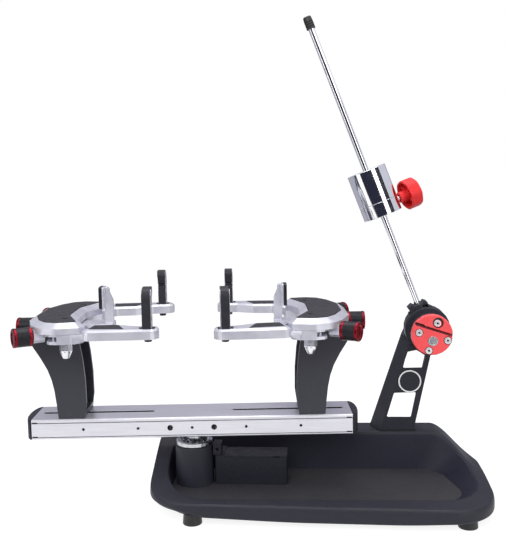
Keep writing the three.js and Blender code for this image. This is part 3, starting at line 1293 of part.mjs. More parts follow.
function addTower(turntable, label, side, centerSetting) {
  const head = new THREE.Group();
  head.position.x = side * TOWER_PLACE;
  turntable.add(head);
  place(head, `${label}_tower`, mirrored(towerShape(), side, 1), MATERIALS.towerPaint);
  place(head, `${label}_clamp_bolt`, mirrored(clampBoltShape(), side, 1), MATERIALS.steel);
  place(head, `${label}_head_plate`, mirrored(headPlateShape(), side, 1), MATERIALS.castMetal);
  place(head, `${label}_head_pad`, mirrored(headPadShape(), side, 1), MATERIALS.padRubber);
  const supportShape = mirrored(centerSupportShape(), side, 1);
  const support = place(head, `${label}_center_support`, supportShape, MATERIALS.castMetal);
  const pad = place(head, `${label}_center_pad`, mirrored(centerPadShape(), side, 1), MATERIALS.rubber);
  support.position.x = side * centerSetting;
  pad.position.x = side * centerSetting;
  const knob = knobShape(CENTER_SCREW_LENGTH).translate(TOWER_REACH, 0, KNOB_HEIGHT);
  place(head, `${label}_center_knob`, mirrored(knob, side, 1), MATERIALS.knob);
  addArm(head, `${label}_front`, side, -1);
  addArm(head, `${label}_back`, side, 1);
}

function addTurntable(machine) {
  const turntable = new THREE.Group();
  turntable.position.z = BEAM_TOP;
  turntable.rotation.z = TURNTABLE_TURN;
  machine.add(turntable);
  place(turntable, 'turntable_hub', hubShape(), MATERIALS.steel);
  place(turntable, 'beam', beamShape(), MATERIALS.extrudedMetal);
  place(turntable, 'left_beam_cap', endCapShape(-1), MATERIALS.blackPlastic);
  place(turntable, 'right_beam_cap', endCapShape(1), MATERIALS.blackPlastic);
  addTower(turntable, 'left', -1, 0);
  addTower(turntable, 'right', 1, RIGHT_CENTER_SETTING);
}

// Tension post

function postOutline() {
  const onBoss = (angle) => [
    AXIS_PLACE + Math.cos(angle) * POST_BOSS_RADIUS, AXIS_HEIGHT + Math.sin(angle) * POST_BOSS_RADIUS,
  ];
  return [
    [POST_FOOT_LEFT, PEDESTAL_TOP], [POST_FOOT_RIGHT, PEDESTAL_TOP],
    [POST_KNEE_RIGHT, PEDESTAL_TOP + POST_KNEE_RISE, POST_BEND_RADIUS],
    [POST_NECK_RIGHT, AXIS_HEIGHT - POST_NECK_RIGHT_DROP, POST_BEND_RADIUS],
    onBoss(POST_BOSS_RIGHT_ANGLE), onBoss(POST_BOSS_LEFT_ANGLE),
    [POST_NECK_LEFT, AXIS_HEIGHT - POST_NECK_LEFT_DROP, POST_BEND_RADIUS],
  ];
}

// The post's left side slants inwards to the front. This is the space outside it, moved right by an offset.
function outsideSlant(offset) {
  const neck = AXIS_HEIGHT - POST_NECK_LEFT_DROP;
  const lean = (POST_NECK_LEFT - POST_FOOT_LEFT) / (neck - PEDESTAL_TOP);
  const slant = POST_SLANT / (POST_BACK - POST_FRONT);
  const left = POST_FOOT_LEFT + offset;
  const [front, back] = [POST_FRONT - OVERRUN, POST_BACK + OVERRUN];
  const outline = [
    [left - POST_BOSS_RADIUS, front], [left + POST_SLANT + slant * OVERRUN, front],
    [left - slant * OVERRUN, back], [left - POST_BOSS_RADIUS, back],
  ];
  const shear = new THREE.Matrix4().set(1, 0, lean, -lean * PEDESTAL_TOP, 0, 1, 0, 0, 0, 0, 1, 0, 0, 0, 0, 1);
  return prism(outline, PEDESTAL_TOP - OVERRUN, neck).applyMatrix4(shear);
}

// A window in the post's web, with its heights as shares of the post's height.
function postWindow(shares, left, right) {
  const outline = withinBox(shares, left, right, PEDESTAL_TOP, AXIS_HEIGHT, WINDOW_RADIUS);
  return prismAlongY(rounded(outline), POST_FRONT - OVERRUN, POST_FRONT + POST_WEB + GAP);
}

// A channel, open at its back, with a boss for the axle at its top.
function postShape() {
  const across = (radius, front, back, x, z) => (
    alongY(rod(radius, front, back, ROUND_STEPS)).translate(x, 0, z)
  );
  const boss = across(POST_BOSS_RADIUS, POST_FRONT, POST_BACK, AXIS_PLACE, AXIS_HEIGHT);
  const body = cut(prismAlongY(rounded(postOutline()), POST_FRONT, POST_BACK), outsideSlant(0));
  const webBack = POST_FRONT + POST_WEB;
  const hollow = prismAlongY(rounded(inset(postOutline(), POST_WALL)), webBack, POST_BACK + OVERRUN);
  const pocket = cut(hollow, outsideSlant(POST_WALL), boss);
  const badgeHeight = PEDESTAL_TOP + (AXIS_HEIGHT - PEDESTAL_TOP) * BADGE_HEIGHT_SHARE;
  const badge = across(BADGE_RADIUS, POST_FRONT - BADGE_PROUD, webBack, BADGE_PLACE, badgeHeight);
  const bore = across(AXLE_RADIUS + ROD_CLEARANCE, POST_FRONT - OVERRUN, POST_BACK + OVERRUN,
    AXIS_PLACE, AXIS_HEIGHT);
  const upper = postWindow(UPPER_WINDOW_SHARES, UPPER_WINDOW_LEFT, UPPER_WINDOW_RIGHT);
  const lower = postWindow(LOWER_WINDOW_SHARES, LOWER_WINDOW_LEFT, LOWER_WINDOW_RIGHT);
  return cut(join(cut(body, pocket), boss, badge), bore, upper, lower);
}

// A fixed axle with a collar in front of the post and a nut behind it.
function axleShape() {
  const shaft = rod(AXLE_RADIUS, AXLE_FRONT + GAP, POST_BACK + AXLE_NUT_HEIGHT / 2);
  const collar = rod(AXLE_COLLAR_RADIUS, HOLDER_BACK + GAP, POST_FRONT);
  const nut = rod(AXLE_NUT_RADIUS, POST_BACK, POST_BACK + AXLE_NUT_HEIGHT, HEX_STEPS);
  return alongY(join(shaft, collar, nut));
}

// Tension bar, built upright along Z from its axis

function barHolderShape() {
  const middle = (HOLDER_FRONT + HOLDER_BACK) / 2;
  const faceRadius = HOLDER_RADIUS - HOLDER_EDGE;
  const drum = alongY(turned([
    [0, HOLDER_FRONT], [faceRadius, HOLDER_FRONT], [HOLDER_RADIUS, HOLDER_FRONT + HOLDER_EDGE],
    [HOLDER_RADIUS, HOLDER_BACK - HOLDER_EDGE], [faceRadius, HOLDER_BACK], [0, HOLDER_BACK],
  ]));
  const boss = moved(rod(HOLDER_BOSS_RADIUS, 0, HOLDER_BOSS_END), 0, middle, 0);
  const shoulder = prismAlongY([
    [0, 0], [HOLDER_RADIUS * Math.cos(SHOULDER_ANGLE), HOLDER_RADIUS * Math.sin(SHOULDER_ANGLE)],
    [HOLDER_BOSS_RADIUS - HOLDER_EDGE, HOLDER_BOSS_END - HOLDER_EDGE], [0, HOLDER_BOSS_END - HOLDER_EDGE],
  ], HOLDER_FRONT + HOLDER_EDGE, HOLDER_BACK - HOLDER_EDGE);
  const clampEnd = -HOLDER_BOSS_RADIUS - CLAMP_SCREW_PROUD;
  const clampScrew = alongX(rod(CLAMP_SCREW_RADIUS, clampEnd, -ROD_RADIUS - CLAMP_SCREW_PROUD, FINE_STEPS));
  clampScrew.translate(0, middle, CLAMP_SCREW_HEIGHT);
  const axleBore = alongY(rod(AXLE_RADIUS + ROD_CLEARANCE, AXLE_FRONT, HOLDER_BACK + OVERRUN));
  const rodBore = rod(ROD_RADIUS + ROD_CLEARANCE, ROD_START - GAP, HOLDER_BOSS_END + OVERRUN);
  rodBore.translate(0, middle, 0);
  return cut(join(drum, boss, shoulder, clampScrew), axleBore, rodBore);
}

function housingShape() {
  const back = HOLDER_FRONT - GAP;
  const flangeBack = HOUSING_FRONT + HOUSING_FLANGE;
  return alongY(turned([
    [0, HOUSING_FRONT], [HOUSING_FLANGE_RADIUS - HOLDER_EDGE, HOUSING_FRONT],
    [HOUSING_FLANGE_RADIUS, HOUSING_FRONT + HOLDER_EDGE], [HOUSING_FLANGE_RADIUS, flangeBack],
    [HOUSING_RADIUS, flangeBack], [HOUSING_RADIUS, back], [0, back],
  ]));
}

function barCapShape() {
  const pitch = (BAR_CAP_END - BAR_CAP_START) / (BAR_CAP_RIBS * 2);
  const profile = [[0, BAR_CAP_START], [BAR_CAP_RADIUS, BAR_CAP_START]];
  for (let rib = 0; rib < BAR_CAP_RIBS; rib += 1) {
    const share = rib / BAR_CAP_RIBS;
    const radius = BAR_CAP_RADIUS + (BAR_CAP_TIP_RADIUS - BAR_CAP_RADIUS) * share;
    const start = BAR_CAP_START + pitch * (rib * 2 + 1);
    profile.push([radius, start], [radius - BAR_CAP_RIB, start + pitch / 4]);
    profile.push([radius - BAR_CAP_RIB, start + pitch * 3 / 4], [radius, start + pitch]);
  }
  profile.push([BAR_CAP_TIP_RADIUS - BAR_CAP_RIB * 2, BAR_CAP_END], [0, BAR_CAP_END]);
  const bore = rod(ROD_RADIUS + ROD_CLEARANCE, BAR_CAP_START - OVERRUN, ROD_END + GAP);
  return cut(turned(profile, SMALL_STEPS), bore);
}

function weightSection(low, high) {
  const bore = ROD_RADIUS + ROD_CLEARANCE;
  return turned([
    [bore, low], [WEIGHT_RADIUS - WEIGHT_CHAMFER, low], [WEIGHT_RADIUS, low + WEIGHT_CHAMFER],
    [WEIGHT_RADIUS, high - WEIGHT_CHAMFER], [WEIGHT_RADIUS - WEIGHT_CHAMFER, high], [bore, high],
  ]);
}

// The collar has a threaded side hole for the clamp knob's stud.
function collarShape() {
  const body = weightSection(WEIGHT_LOW, WEIGHT_LOW + WEIGHT_COLLAR);
  const hole = alongX(rod(KNOB_STUD_RADIUS + ROD_CLEARANCE, 0, WEIGHT_RADIUS + OVERRUN));
  return cut(body, hole.rotateZ(KNOB_STUD_TURN).translate(0, 0, WEIGHT_KNOB_PLACE));
}

// A lobed clamp knob with a hollow underside, built along X.
function weightKnobShape() {
  const steps = WEIGHT_KNOB_LOBES * WEIGHT_KNOB_LOBE_STEPS;
  const lobed = (radius, height) => Array.from({ length: steps }, (_, step) => {
    const angle = (step / steps) * Math.PI * 2;
    const size = radius + WEIGHT_KNOB_LOBE / 2 * Math.cos(angle * WEIGHT_KNOB_LOBES);
    return [Math.cos(angle) * size, Math.sin(angle) * size, height];
  });
  const radius = WEIGHT_KNOB_RADIUS - WEIGHT_KNOB_LOBE / 2;
  const start = WEIGHT_KNOB_START;
  const end = start + WEIGHT_KNOB_THICKNESS;
  const edge = WEIGHT_KNOB_LOBE;
  const body = loft([
    lobed(radius - edge / 2, start), lobed(radius, start + edge), lobed(radius, end - edge * 2),
    lobed(radius - edge, end - edge / 2), lobed(radius - edge * 2, end),
  ]);
  const pocketOuter = radius - WEIGHT_KNOB_LOBE - WEIGHT_KNOB_WALL;
  const pocket = turned([
    [WEIGHT_KNOB_HUB_RADIUS, start - OVERRUN], [pocketOuter, start - OVERRUN],
    [pocketOuter, start + WEIGHT_KNOB_POCKET], [WEIGHT_KNOB_HUB_RADIUS, start + WEIGHT_KNOB_POCKET],
  ], SMALL_STEPS);
  const stud = rod(KNOB_STUD_RADIUS, ROD_RADIUS + GAP, start + WEIGHT_KNOB_POCKET);
  return alongX(join(cut(body, pocket), stud)).rotateZ(KNOB_STUD_TURN);
}

function addBar(machine) {
  const bar = new THREE.Group();
  bar.position.set(AXIS_PLACE, 0, AXIS_HEIGHT);
  bar.rotation.y = -BAR_LEAN;
  machine.add(bar);
  place(bar, 'bar_holder', barHolderShape(), MATERIALS.blackPaint);
  place(bar, 'ratchet_housing', housingShape(), MATERIALS.blackPaint);
  const line = new THREE.Group();
  line.position.y = (HOLDER_FRONT + HOLDER_BACK) / 2;
  bar.add(line);
  place(line, 'drop_bar', rod(ROD_RADIUS, ROD_START, ROD_END), MATERIALS.chrome);
  place(line, 'bar_end_cap', barCapShape(), MATERIALS.rubber);
  const seam = WEIGHT_LOW + WEIGHT_COLLAR;
  place(line, 'drop_weight', weightSection(seam + GAP, WEIGHT_LOW + WEIGHT_LENGTH), MATERIALS.chrome);
  place(line, 'weight_collar', collarShape(), MATERIALS.chrome);
  place(line, 'weight_knob', weightKnobShape(), MATERIALS.redPlastic).position.z = WEIGHT_KNOB_PLACE;
}

// Gripper, whose jaw closes on the string across a slanting slot

function gripTurned(geometry) {
  return geometry.rotateY(-GRIP_TURN);
}

function gripperDisc(front, back) {
  return alongY(turned([
    [0, front], [GRIPPER_RADIUS - GRIPPER_EDGE, front], [GRIPPER_RADIUS, front + GRIPPER_EDGE],
    [GRIPPER_RADIUS, back], [0, back],
  ]));
}

function jawScrewSlot(radius) {
  const [x, z] = JAW_SCREW_PLACE;
  const outline = rounded([
    [x - radius, z - radius - JAW_TRAVEL, radius], [x + radius, z - radius - JAW_TRAVEL, radius],
    [x + radius, z + radius + JAW_TRAVEL, radius], [x - radius, z + radius + JAW_TRAVEL, radius],
  ]);
  return prismAlongY(outline, GRIPPER_FACE - OVERRUN, GRIPPER_STEP + OVERRUN);
}

function gripperPlateShape() {
  const disc = gripperDisc(GRIPPER_FACE, GRIPPER_BACK);
  const reach = GRIPPER_RADIUS + OVERRUN;
  const front = GRIPPER_FACE - OVERRUN;
  const jawSpace = block(-reach, reach, front, GRIPPER_STEP, GRIP_HEIGHT, reach);
  const entry = block(GRIPPER_RADIUS - GRIP_ENTRY_WIDTH, reach, front, GRIPPER_STEP,
    GRIP_HEIGHT - GRIP_ENTRY_DEPTH, GRIPPER_RADIUS);
  const [x, z] = JAW_SCREW_PLACE;
  const headLow = GRIPPER_FACE - GAP;
  const screw = alongY(join(
    rod(JAW_SCREW_RADIUS, headLow - JAW_SCREW_HEAD_HEIGHT / 2, GRIPPER_STEP + GAP),
    rod(JAW_SCREW_HEAD_RADIUS, headLow - JAW_SCREW_HEAD_HEIGHT, headLow),
  )).translate(x, 0, z);
  const body = join(gripTurned(cut(disc, jawSpace, entry)), gripTurned(screw));
  const [badgeX, badgeZ] = GRIPPER_BADGE_PLACE;
  const badgeFront = GRIPPER_FACE - GRIPPER_BADGE_PROUD;
  const badge = alongY(rod(GRIPPER_BADGE_RADIUS, badgeFront, GRIPPER_FACE + GRIPPER_EDGE));
  return join(body, badge.translate(badgeX, 0, badgeZ));
}

function gripperJawShape() {
  const back = GRIPPER_STEP - GAP;
  const disc = gripperDisc(GRIPPER_FACE, back);
  const reach = GRIPPER_RADIUS + OVERRUN;
  const front = GRIPPER_FACE - OVERRUN;
  const below = block(-reach, reach, front, back + OVERRUN, -reach, GRIP_HEIGHT + GRIP_GAP);
  const lipTop = GRIP_HEIGHT + GRIP_GAP + JAW_LIP;
  const lip = block(-reach, -GRIPPER_RADIUS / 2, front, back + OVERRUN, GRIP_HEIGHT, lipTop);
  return gripTurned(cut(disc, below, lip, jawScrewSlot(JAW_SCREW_RADIUS + SLIDING_CLEARANCE)));
}

function addGripper(machine) {
  const gripper = new THREE.Group();
  gripper.position.set(AXIS_PLACE, 0, AXIS_HEIGHT);
  machine.add(gripper);
  place(gripper, 'gripper_plate', gripperPlateShape(), MATERIALS.redMetal);
  place(gripper, 'gripper_jaw', gripperJawShape(), MATERIALS.redMetal);
}

function addPost(machine) {
  place(machine, 'tension_post', postShape(), MATERIALS.blackPaint);
  place(machine, 'tension_axle', axleShape(), MATERIALS.steel).position.set(AXIS_PLACE, 0, AXIS_HEIGHT);
}

// The machine's origin is the middle of its outline, on the surface that it stands on.
function centreOnFloor(machine) {
  const box = new THREE.Box3().setFromObject(machine, true);
  const middle = box.getCenter(new THREE.Vector3());
  machine.children.forEach((piece) => {
    piece.position.x -= middle.x;
    piece.position.y -= middle.y;
    piece.position.z -= box.min.z;
  });
  return machine;
}

function buildMachine() {
  const machine = new THREE.Group();
  addBase(machine);
  addTurntableSeat(machine);
  addToolBox(machine);
  addTurntable(machine);
  addPost(machine);
  addBar(machine);
  addGripper(machine);
  return centreOnFloor(machine);
}

export default buildMachine();
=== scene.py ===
"""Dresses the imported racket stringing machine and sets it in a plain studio."""

import json
import math

import bmesh
import bpy
from mathutils import Matrix, Vector

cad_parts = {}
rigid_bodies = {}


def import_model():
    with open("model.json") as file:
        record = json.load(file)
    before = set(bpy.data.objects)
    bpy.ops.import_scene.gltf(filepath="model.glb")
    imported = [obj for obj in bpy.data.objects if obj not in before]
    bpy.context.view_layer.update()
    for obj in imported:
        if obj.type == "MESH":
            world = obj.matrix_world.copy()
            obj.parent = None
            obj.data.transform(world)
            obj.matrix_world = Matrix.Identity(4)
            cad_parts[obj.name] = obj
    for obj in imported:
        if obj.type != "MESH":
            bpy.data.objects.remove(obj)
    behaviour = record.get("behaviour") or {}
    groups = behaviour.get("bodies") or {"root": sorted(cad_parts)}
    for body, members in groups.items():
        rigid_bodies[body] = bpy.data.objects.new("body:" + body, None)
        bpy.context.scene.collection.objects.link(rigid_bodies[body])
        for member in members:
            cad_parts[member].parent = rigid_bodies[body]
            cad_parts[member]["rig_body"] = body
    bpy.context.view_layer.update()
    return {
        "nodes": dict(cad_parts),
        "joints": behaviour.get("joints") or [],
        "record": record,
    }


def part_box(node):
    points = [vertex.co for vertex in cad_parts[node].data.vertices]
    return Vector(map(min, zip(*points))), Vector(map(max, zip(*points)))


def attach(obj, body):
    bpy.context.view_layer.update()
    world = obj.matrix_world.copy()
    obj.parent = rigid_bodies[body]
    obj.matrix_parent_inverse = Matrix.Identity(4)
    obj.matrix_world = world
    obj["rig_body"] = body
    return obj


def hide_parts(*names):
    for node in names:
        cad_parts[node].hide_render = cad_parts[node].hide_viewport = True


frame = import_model()
scene = bpy.context.scene
SUBPARTS = {entry["node"]: entry for entry in frame["record"]["subparts"]}
JOINTS = {joint["name"]: joint for joint in frame["joints"]}
MM = 0.001

# Camera, as solved from the photograph, in metres
CAMERA_PLACE = (0.10266, -1.2198, 0.5002)
CAMERA_HEADING = math.radians(4.5)
CAMERA_PITCH = math.radians(6.43)
CAMERA_ROLL = math.radians(1.106)
CAMERA_LENS = 57.37
SENSOR_WIDTH = 36.0

# Studio, in metres
FLOOR_SIZE = 8.0
FLOOR_GLOW = 0.86
FLOOR_SHADE = 0.3
WORLD_LIGHT = 0.42
LAMPS = [
    ("key", (-0.4, -1.8, 1.5), (1.5, 1.1), 25.0),
    ("fill", (1.5, -1.5, 0.9), (1.2, 1.6), 13.0),
    ("left", (-1.7, -0.6, 0.5), (0.6, 1.0), 7.0),
    ("top", (0.1, 0.1, 1.9), (1.8, 1.0), 17.0),
]
LAMP_TARGET = (0.0, 0.0, 0.3)

# Cards that only mirrors see: name, one lower corner, the other lower corner, low and high edge, colour
CARDS = [
    ("front_card", (-0.88, -1.10), (0.72, -1.10), 0.0, 1.10, "2b2d3c"),
    ("left_card", (-0.62, -0.30), (-0.62, 1.50), 0.0, 0.95, "b0b1bd"),
    ("left_strip", (-0.61, -0.25), (-0.61, -0.02), 0.0, 0.95, "42434e"),
    ("right_strip", (1.20, -0.98), (1.20, -0.27), 0.2, 1.15, "34353e"),
    ("right_card", (1.22, -0.25), (1.22, 1.50), 0.0, 1.15, "d1d3de"),
    ("back_card", (-1.90, 1.50), (1.90, 1.50), 0.0, 1.90, "a3a1b0"),
]

# Facets and edges
ROUND_STEPS = 96
SMALL_STEPS = 48
FILLET_STEPS = 4
SMOOTH_ANGLE = math.radians(32)
CREASE_ANGLE = math.radians(24)
FLAT_ANGLE = math.radians(0.5)
MERGE_DISTANCE = 0.00001
HEXAGON_SIDES = 6

# Places and directions of the joints, with lengths of the machine in millimetres from here on


def joint_place(name):
    return Vector(JOINTS[name]["pos_m"]) / MM


def joint_axis(name):
    return Vector(JOINTS[name]["axis"])


def level_turn(name):
    """How far a joint's level axis is turned away from x, whichever way it points."""
    axis = joint_axis(name)
    return math.atan(axis.y / axis.x)


def front_lean(name):
    """How far a joint's axis leans to the left as seen from the front."""
    axis = joint_axis(name)
    return math.atan2(-axis.x, axis.z)


TURNTABLE_AXIS = joint_place("turntable_spin").xy
TURNTABLE_TURN = level_turn("right_head_slide")
BAR_AXIS = joint_place("bar_swing")
BAR_LEAN = front_lean("weight_slide")
GRIP_TURN = front_lean("jaw_slide")
GRIPPER_FACE = -12.0
ARMS = [(side, face) for side in ("left", "right") for face in ("front", "back")]


def srgb(code):
    """The linear colour of a hexadecimal screen colour."""
    parts = [int(code[at:at + 2], 16) / 255 for at in (0, 2, 4)]
    linear = [p / 12.92 if p <= 0.04045 else ((p + 0.055) / 1.055) ** 2.4 for p in parts]
    return (*linear, 1.0)


# Materials


class Finish:
    """A material with its shader, and the nodes that vary it."""

    def __init__(self, name, color, roughness, metallic, specular=0.5):
        self.material = bpy.data.materials.new(name)
        self.material.use_nodes = True
        self.tree = self.material.node_tree
        self.shader = self.tree.nodes["Principled BSDF"]
        self.shader.inputs["Base Color"].default_value = srgb(color)
        self.shader.inputs["Roughness"].default_value = roughness
        self.shader.inputs["Metallic"].default_value = metallic
        self.shader.inputs["Specular IOR Level"].default_value = specular
        self.places = {}

    def node(self, kind, **settings):
        node = self.tree.nodes.new(kind)
        for name, value in settings.items():
            if hasattr(node, name):
                setattr(node, name, value)
            else:
                node.inputs[name.replace("_", " ")].default_value = value
        return node

    def link(self, start, end):
        self.tree.links.new(start, end)

    def place(self, scale=(1, 1, 1), turn=(0, 0, 0)):
        """The object's own coordinates, turned and stretched."""
        key = (tuple(scale), tuple(turn))
        if key not in self.places:
            source = self.node("ShaderNodeTexCoord")
            mapping = self.node("ShaderNodeMapping", vector_type="TEXTURE")
            mapping.inputs["Rotation"].default_value = turn
            mapping.inputs["Scale"].default_value = scale
            self.link(source.outputs["Object"], mapping.inputs["Vector"])
            self.places[key] = mapping.outputs["Vector"]
        return self.places[key]

    def noise(self, size, detail=3.0, scale=(1, 1, 1), turn=(0, 0, 0)):
        """Noise whose grains are about size millimetres across."""
        node = self.node("ShaderNodeTexNoise", Scale=1 / (size * MM), Detail=detail)
        self.link(self.place(scale, turn), node.inputs["Vector"])
        return node.outputs["Fac"]

    def cells(self, size):
        """Distance within cells that are about size millimetres across."""
        node = self.node("ShaderNodeTexVoronoi", Scale=1 / (size * MM), feature="F1")
        self.link(self.place(), node.inputs["Vector"])
        return node.outputs["Distance"]

    def spread(self, value, low, high, start=0.3, end=0.7):
        """A value carried over from one range to another."""
        node = self.node("ShaderNodeMapRange")
        for socket, number in (("From Min", start), ("From Max", end), ("To Min", low), ("To Max", high)):
            node.inputs[socket].default_value = number
        self.link(value, node.inputs["Value"])
        return node.outputs["Result"]

    def colors(self, value, low, high, start=0.3, end=0.7):
        """Base colour that runs between two screen colours."""
        ramp = self.node("ShaderNodeValToRGB")
        ramp.color_ramp.elements[0].position = start
        ramp.color_ramp.elements[0].color = srgb(low)
        ramp.color_ramp.elements[1].position = end
        ramp.color_ramp.elements[1].color = srgb(high)
        self.link(value, ramp.inputs["Fac"])
        self.link(ramp.outputs["Color"], self.shader.inputs["Base Color"])

    def roughness(self, value, low, high, start=0.3, end=0.7):
        self.link(self.spread(value, low, high, start, end), self.shader.inputs["Roughness"])

    def bump(self, value, height, strength):
        """Relief that stands height millimetres high, on top of any relief before it."""
        node = self.node("ShaderNodeBump", Strength=strength, Distance=height * MM)
        self.link(value, node.inputs["Height"])
        normal = self.shader.inputs["Normal"]
        if normal.is_linked:
            self.link(normal.links[0].from_socket, node.inputs["Normal"])
        self.link(node.outputs["Normal"], normal)


# Finishes whose tint, roughness and relief each follow a noise of their own: colour, roughness, metallic and
# specular level, then the tint's grain, detail and two colours, the roughness's grain, detail and two values,
# and each relief's grain, detail, height and strength. Grains and heights are in millimetres.
GRAINED_FINISHES = {
    "powder_coat": (
        ("25252f", 0.5, 0, 0.32), (1.6, 2, "21212b", "2a2a35"), (30, 3, 0.44, 0.56), [(1.1, 2, 0.12, 0.4)],
    ),
    # The tray's floor: its own coarser grain, and a lighter tone that is painted light on the upward-facing
    # floor
    "tray_floor_grain_and_painted_light": (
        ("34343a", 0.6, 0, 0.3), (1.4, 2, "2e2d32", "3c3b3f"), (20, 3, 0.54, 0.66), [(1.2, 2, 0.16, 0.5)],
    ),
    # The tray's inner walls: the powder coat darkened, painted shade for walls that face away from the light
    "tray_wall_painted_shade": (
        ("242431", 0.5, 0, 0.2), (1.6, 2, "20202c", "282836"), (30, 3, 0.44, 0.56), [(1.1, 2, 0.1, 0.4)],
    ),
    "tower_paint": (
        ("2e2e38", 0.38, 0, 0.5), (1.2, 2, "2a2a34", "33333d"), (20, 3, 0.34, 0.46), [(0.9, 2, 0.08, 0.3)],
    ),
    "black_plastic": (
        ("22222b", 0.5, 0, 0.2), (4, 3, "1f1f27", "272731"), (12, 3, 0.34, 0.48), [(0.7, 2, 0.04, 0.4)],
    ),
    "support_plastic": (
        ("1f1f27", 0.42, 0, 0.4), (3, 3, "1b1b23", "24242c"), (10, 3, 0.4, 0.54), [(0.8, 2, 0.05, 0.4)],
    ),
    "grip_plastic": (
        ("1b1b22", 0.42, 0, 0.2), (4, 3, "17171d", "202027"), (10, 3, 0.3, 0.44), [(0.7, 2, 0.03, 0.4)],
    ),
    "red_plastic": (
        ("e42d30", 0.5, 0, 0.3), (10, 3, "e0292c", "e83235"), (10, 3, 0.46, 0.56), [(1, 2, 0.02, 0.2)],
    ),
    "rubber": (
        ("131416", 0.4, 0, 0.5), (3, 3, "111214", "18191b"), (8, 3, 0.34, 0.5), [(0.6, 2, 0.05, 0.4)],
    ),
    "cast_metal": (
        ("cecedb", 0.34, 0.45, 0.5), (30, 1, "c8c8d5", "d6d6e0"), (12, 2, 0.3, 0.42),
        [(9, 1, 0.1, 0.2), (1.2, 2, 0.006, 0.3)],
    ),
    "steel": (
        ("c2c3c8", 0.22, 1, 0.5), (6, 3, "b6b7bd", "cecfd3"), (2, 5, 0.16, 0.3), [(0.6, 3, 0.01, 0.4)],
    ),
    "bright_steel": (
        ("f2f2f5", 0.2, 0.5, 0.5), (4, 3, "e2e2e8", "f4f4f7"), (2, 4, 0.12, 0.24), [(0.8, 2, 0.01, 0.3)],
    ),
    "nut_steel": (
        ("e6e7ee", 0.18, 0.85, 0.5), (4, 3, "dcdde6", "f0f0f5"), (3, 2, 0.14, 0.24), [(1, 2, 0.01, 0.3)],
    ),
    "plate_metal": (
        ("c4c3cd", 0.4, 0.4, 0.5), (10, 3, "bcbbc6", "cdccd5"), (6, 3, 0.34, 0.48), [(1, 2, 0.01, 0.3)],
    ),
    "red_anodised": (
        ("7a1020", 0.26, 0.85, 0.5), (10, 3, "6d0d1b", "881426"), (4, 4, 0.2, 0.34), [(0.6, 3, 0.02, 0.4)],
    ),
    "red_disc_metal": (
        ("fd575b", 0.36, 0.2, 0.5), (12, 3, "fa5357", "ff5c60"), (4, 4, 0.3, 0.42), [(0.8, 3, 0.02, 0.4)],
    ),
    "white_paint": (("fcfcfd", 0.5, 0, 0.5), (2, 3, "f8f8fa", "ffffff"), (4, 3, 0.44, 0.56), []),
    # Near-black for painted shade: sheets, rings and discs laid where seats, sockets, slots, grooves and
    # holes fall into shadow
    "painted_shade_black": (("0b0b0d", 0.7, 0, 0.5), (1, 3, "09090b", "101012"), (2, 3, 0.6, 0.8), []),
}

# Lines along the extrusion, turning marks around chrome and dots of the pads
LINE_GRAIN = 1.1
LINE_STRETCH = (60, 1, 1)
LINE_HEIGHT = 0.02
HAZE_GRAIN = 10
HAZE_STRETCH = (12, 1, 1)
TINT_GRAIN = 50
POLISH_GRAIN = 20
MARK_GRAIN = 0.8
MARK_STRETCH = (40, 40, 1)
MARK_HEIGHT = 0.001
PAD_DOT = 2.4
PAD_DOT_HEIGHT = 0.3
PAD_GRAIN = 10


def grained_finish(name):
    (color, roughness, metallic, specular), tint, gloss, reliefs = GRAINED_FINISHES[name]
    finish = Finish(name, color, roughness, metallic, specular)
    grain, detail, low, high = tint
    finish.colors(finish.noise(grain, detail), low, high)
    grain, detail, low, high = gloss
    finish.roughness(finish.noise(grain, detail), low, high)
    for grain, detail, height, strength in reliefs:
        finish.bump(finish.noise(grain, detail), height, strength)
    return finish.material


def extruded_metal():
    """Clear anodised extrusion with fine lines along it."""
    finish = Finish("extruded_metal", "dddce4", 0.32, 0.8)
    along = (0, 0, TURNTABLE_TURN)
    lines = finish.noise(LINE_GRAIN, 2.0, LINE_STRETCH, along)
    finish.colors(lines, "d7d6de", "e4e3ea")
    finish.roughness(finish.noise(HAZE_GRAIN, 4.0, HAZE_STRETCH, along), 0.3, 0.42)
    finish.bump(lines, LINE_HEIGHT, 0.4)
    return finish.material


def chrome():
    """Polished chrome with the faintest turning marks around it."""
    finish = Finish("chrome", "eeeef2", 0.05, 1.0)
    marks = finish.noise(MARK_GRAIN, 2.0, MARK_STRETCH)
    finish.colors(finish.noise(TINT_GRAIN), "eaeaee", "f4f4f7")
    finish.roughness(finish.noise(POLISH_GRAIN, 1.0), 0.07, 0.11)
    finish.bump(marks, MARK_HEIGHT, 0.2)
    return finish.material


def pad_rubber():
    """Charcoal pad with a fine dotted surface."""
    finish = Finish("pad_rubber", "35343a", 0.62, 0, 0.3)
    dots = finish.cells(PAD_DOT)
    finish.colors(dots, "45444b", "232228", 0.15, 0.55)
    finish.roughness(finish.noise(PAD_GRAIN), 0.55, 0.7)
    finish.bump(dots, PAD_DOT_HEIGHT, 0.6)
    return finish.material


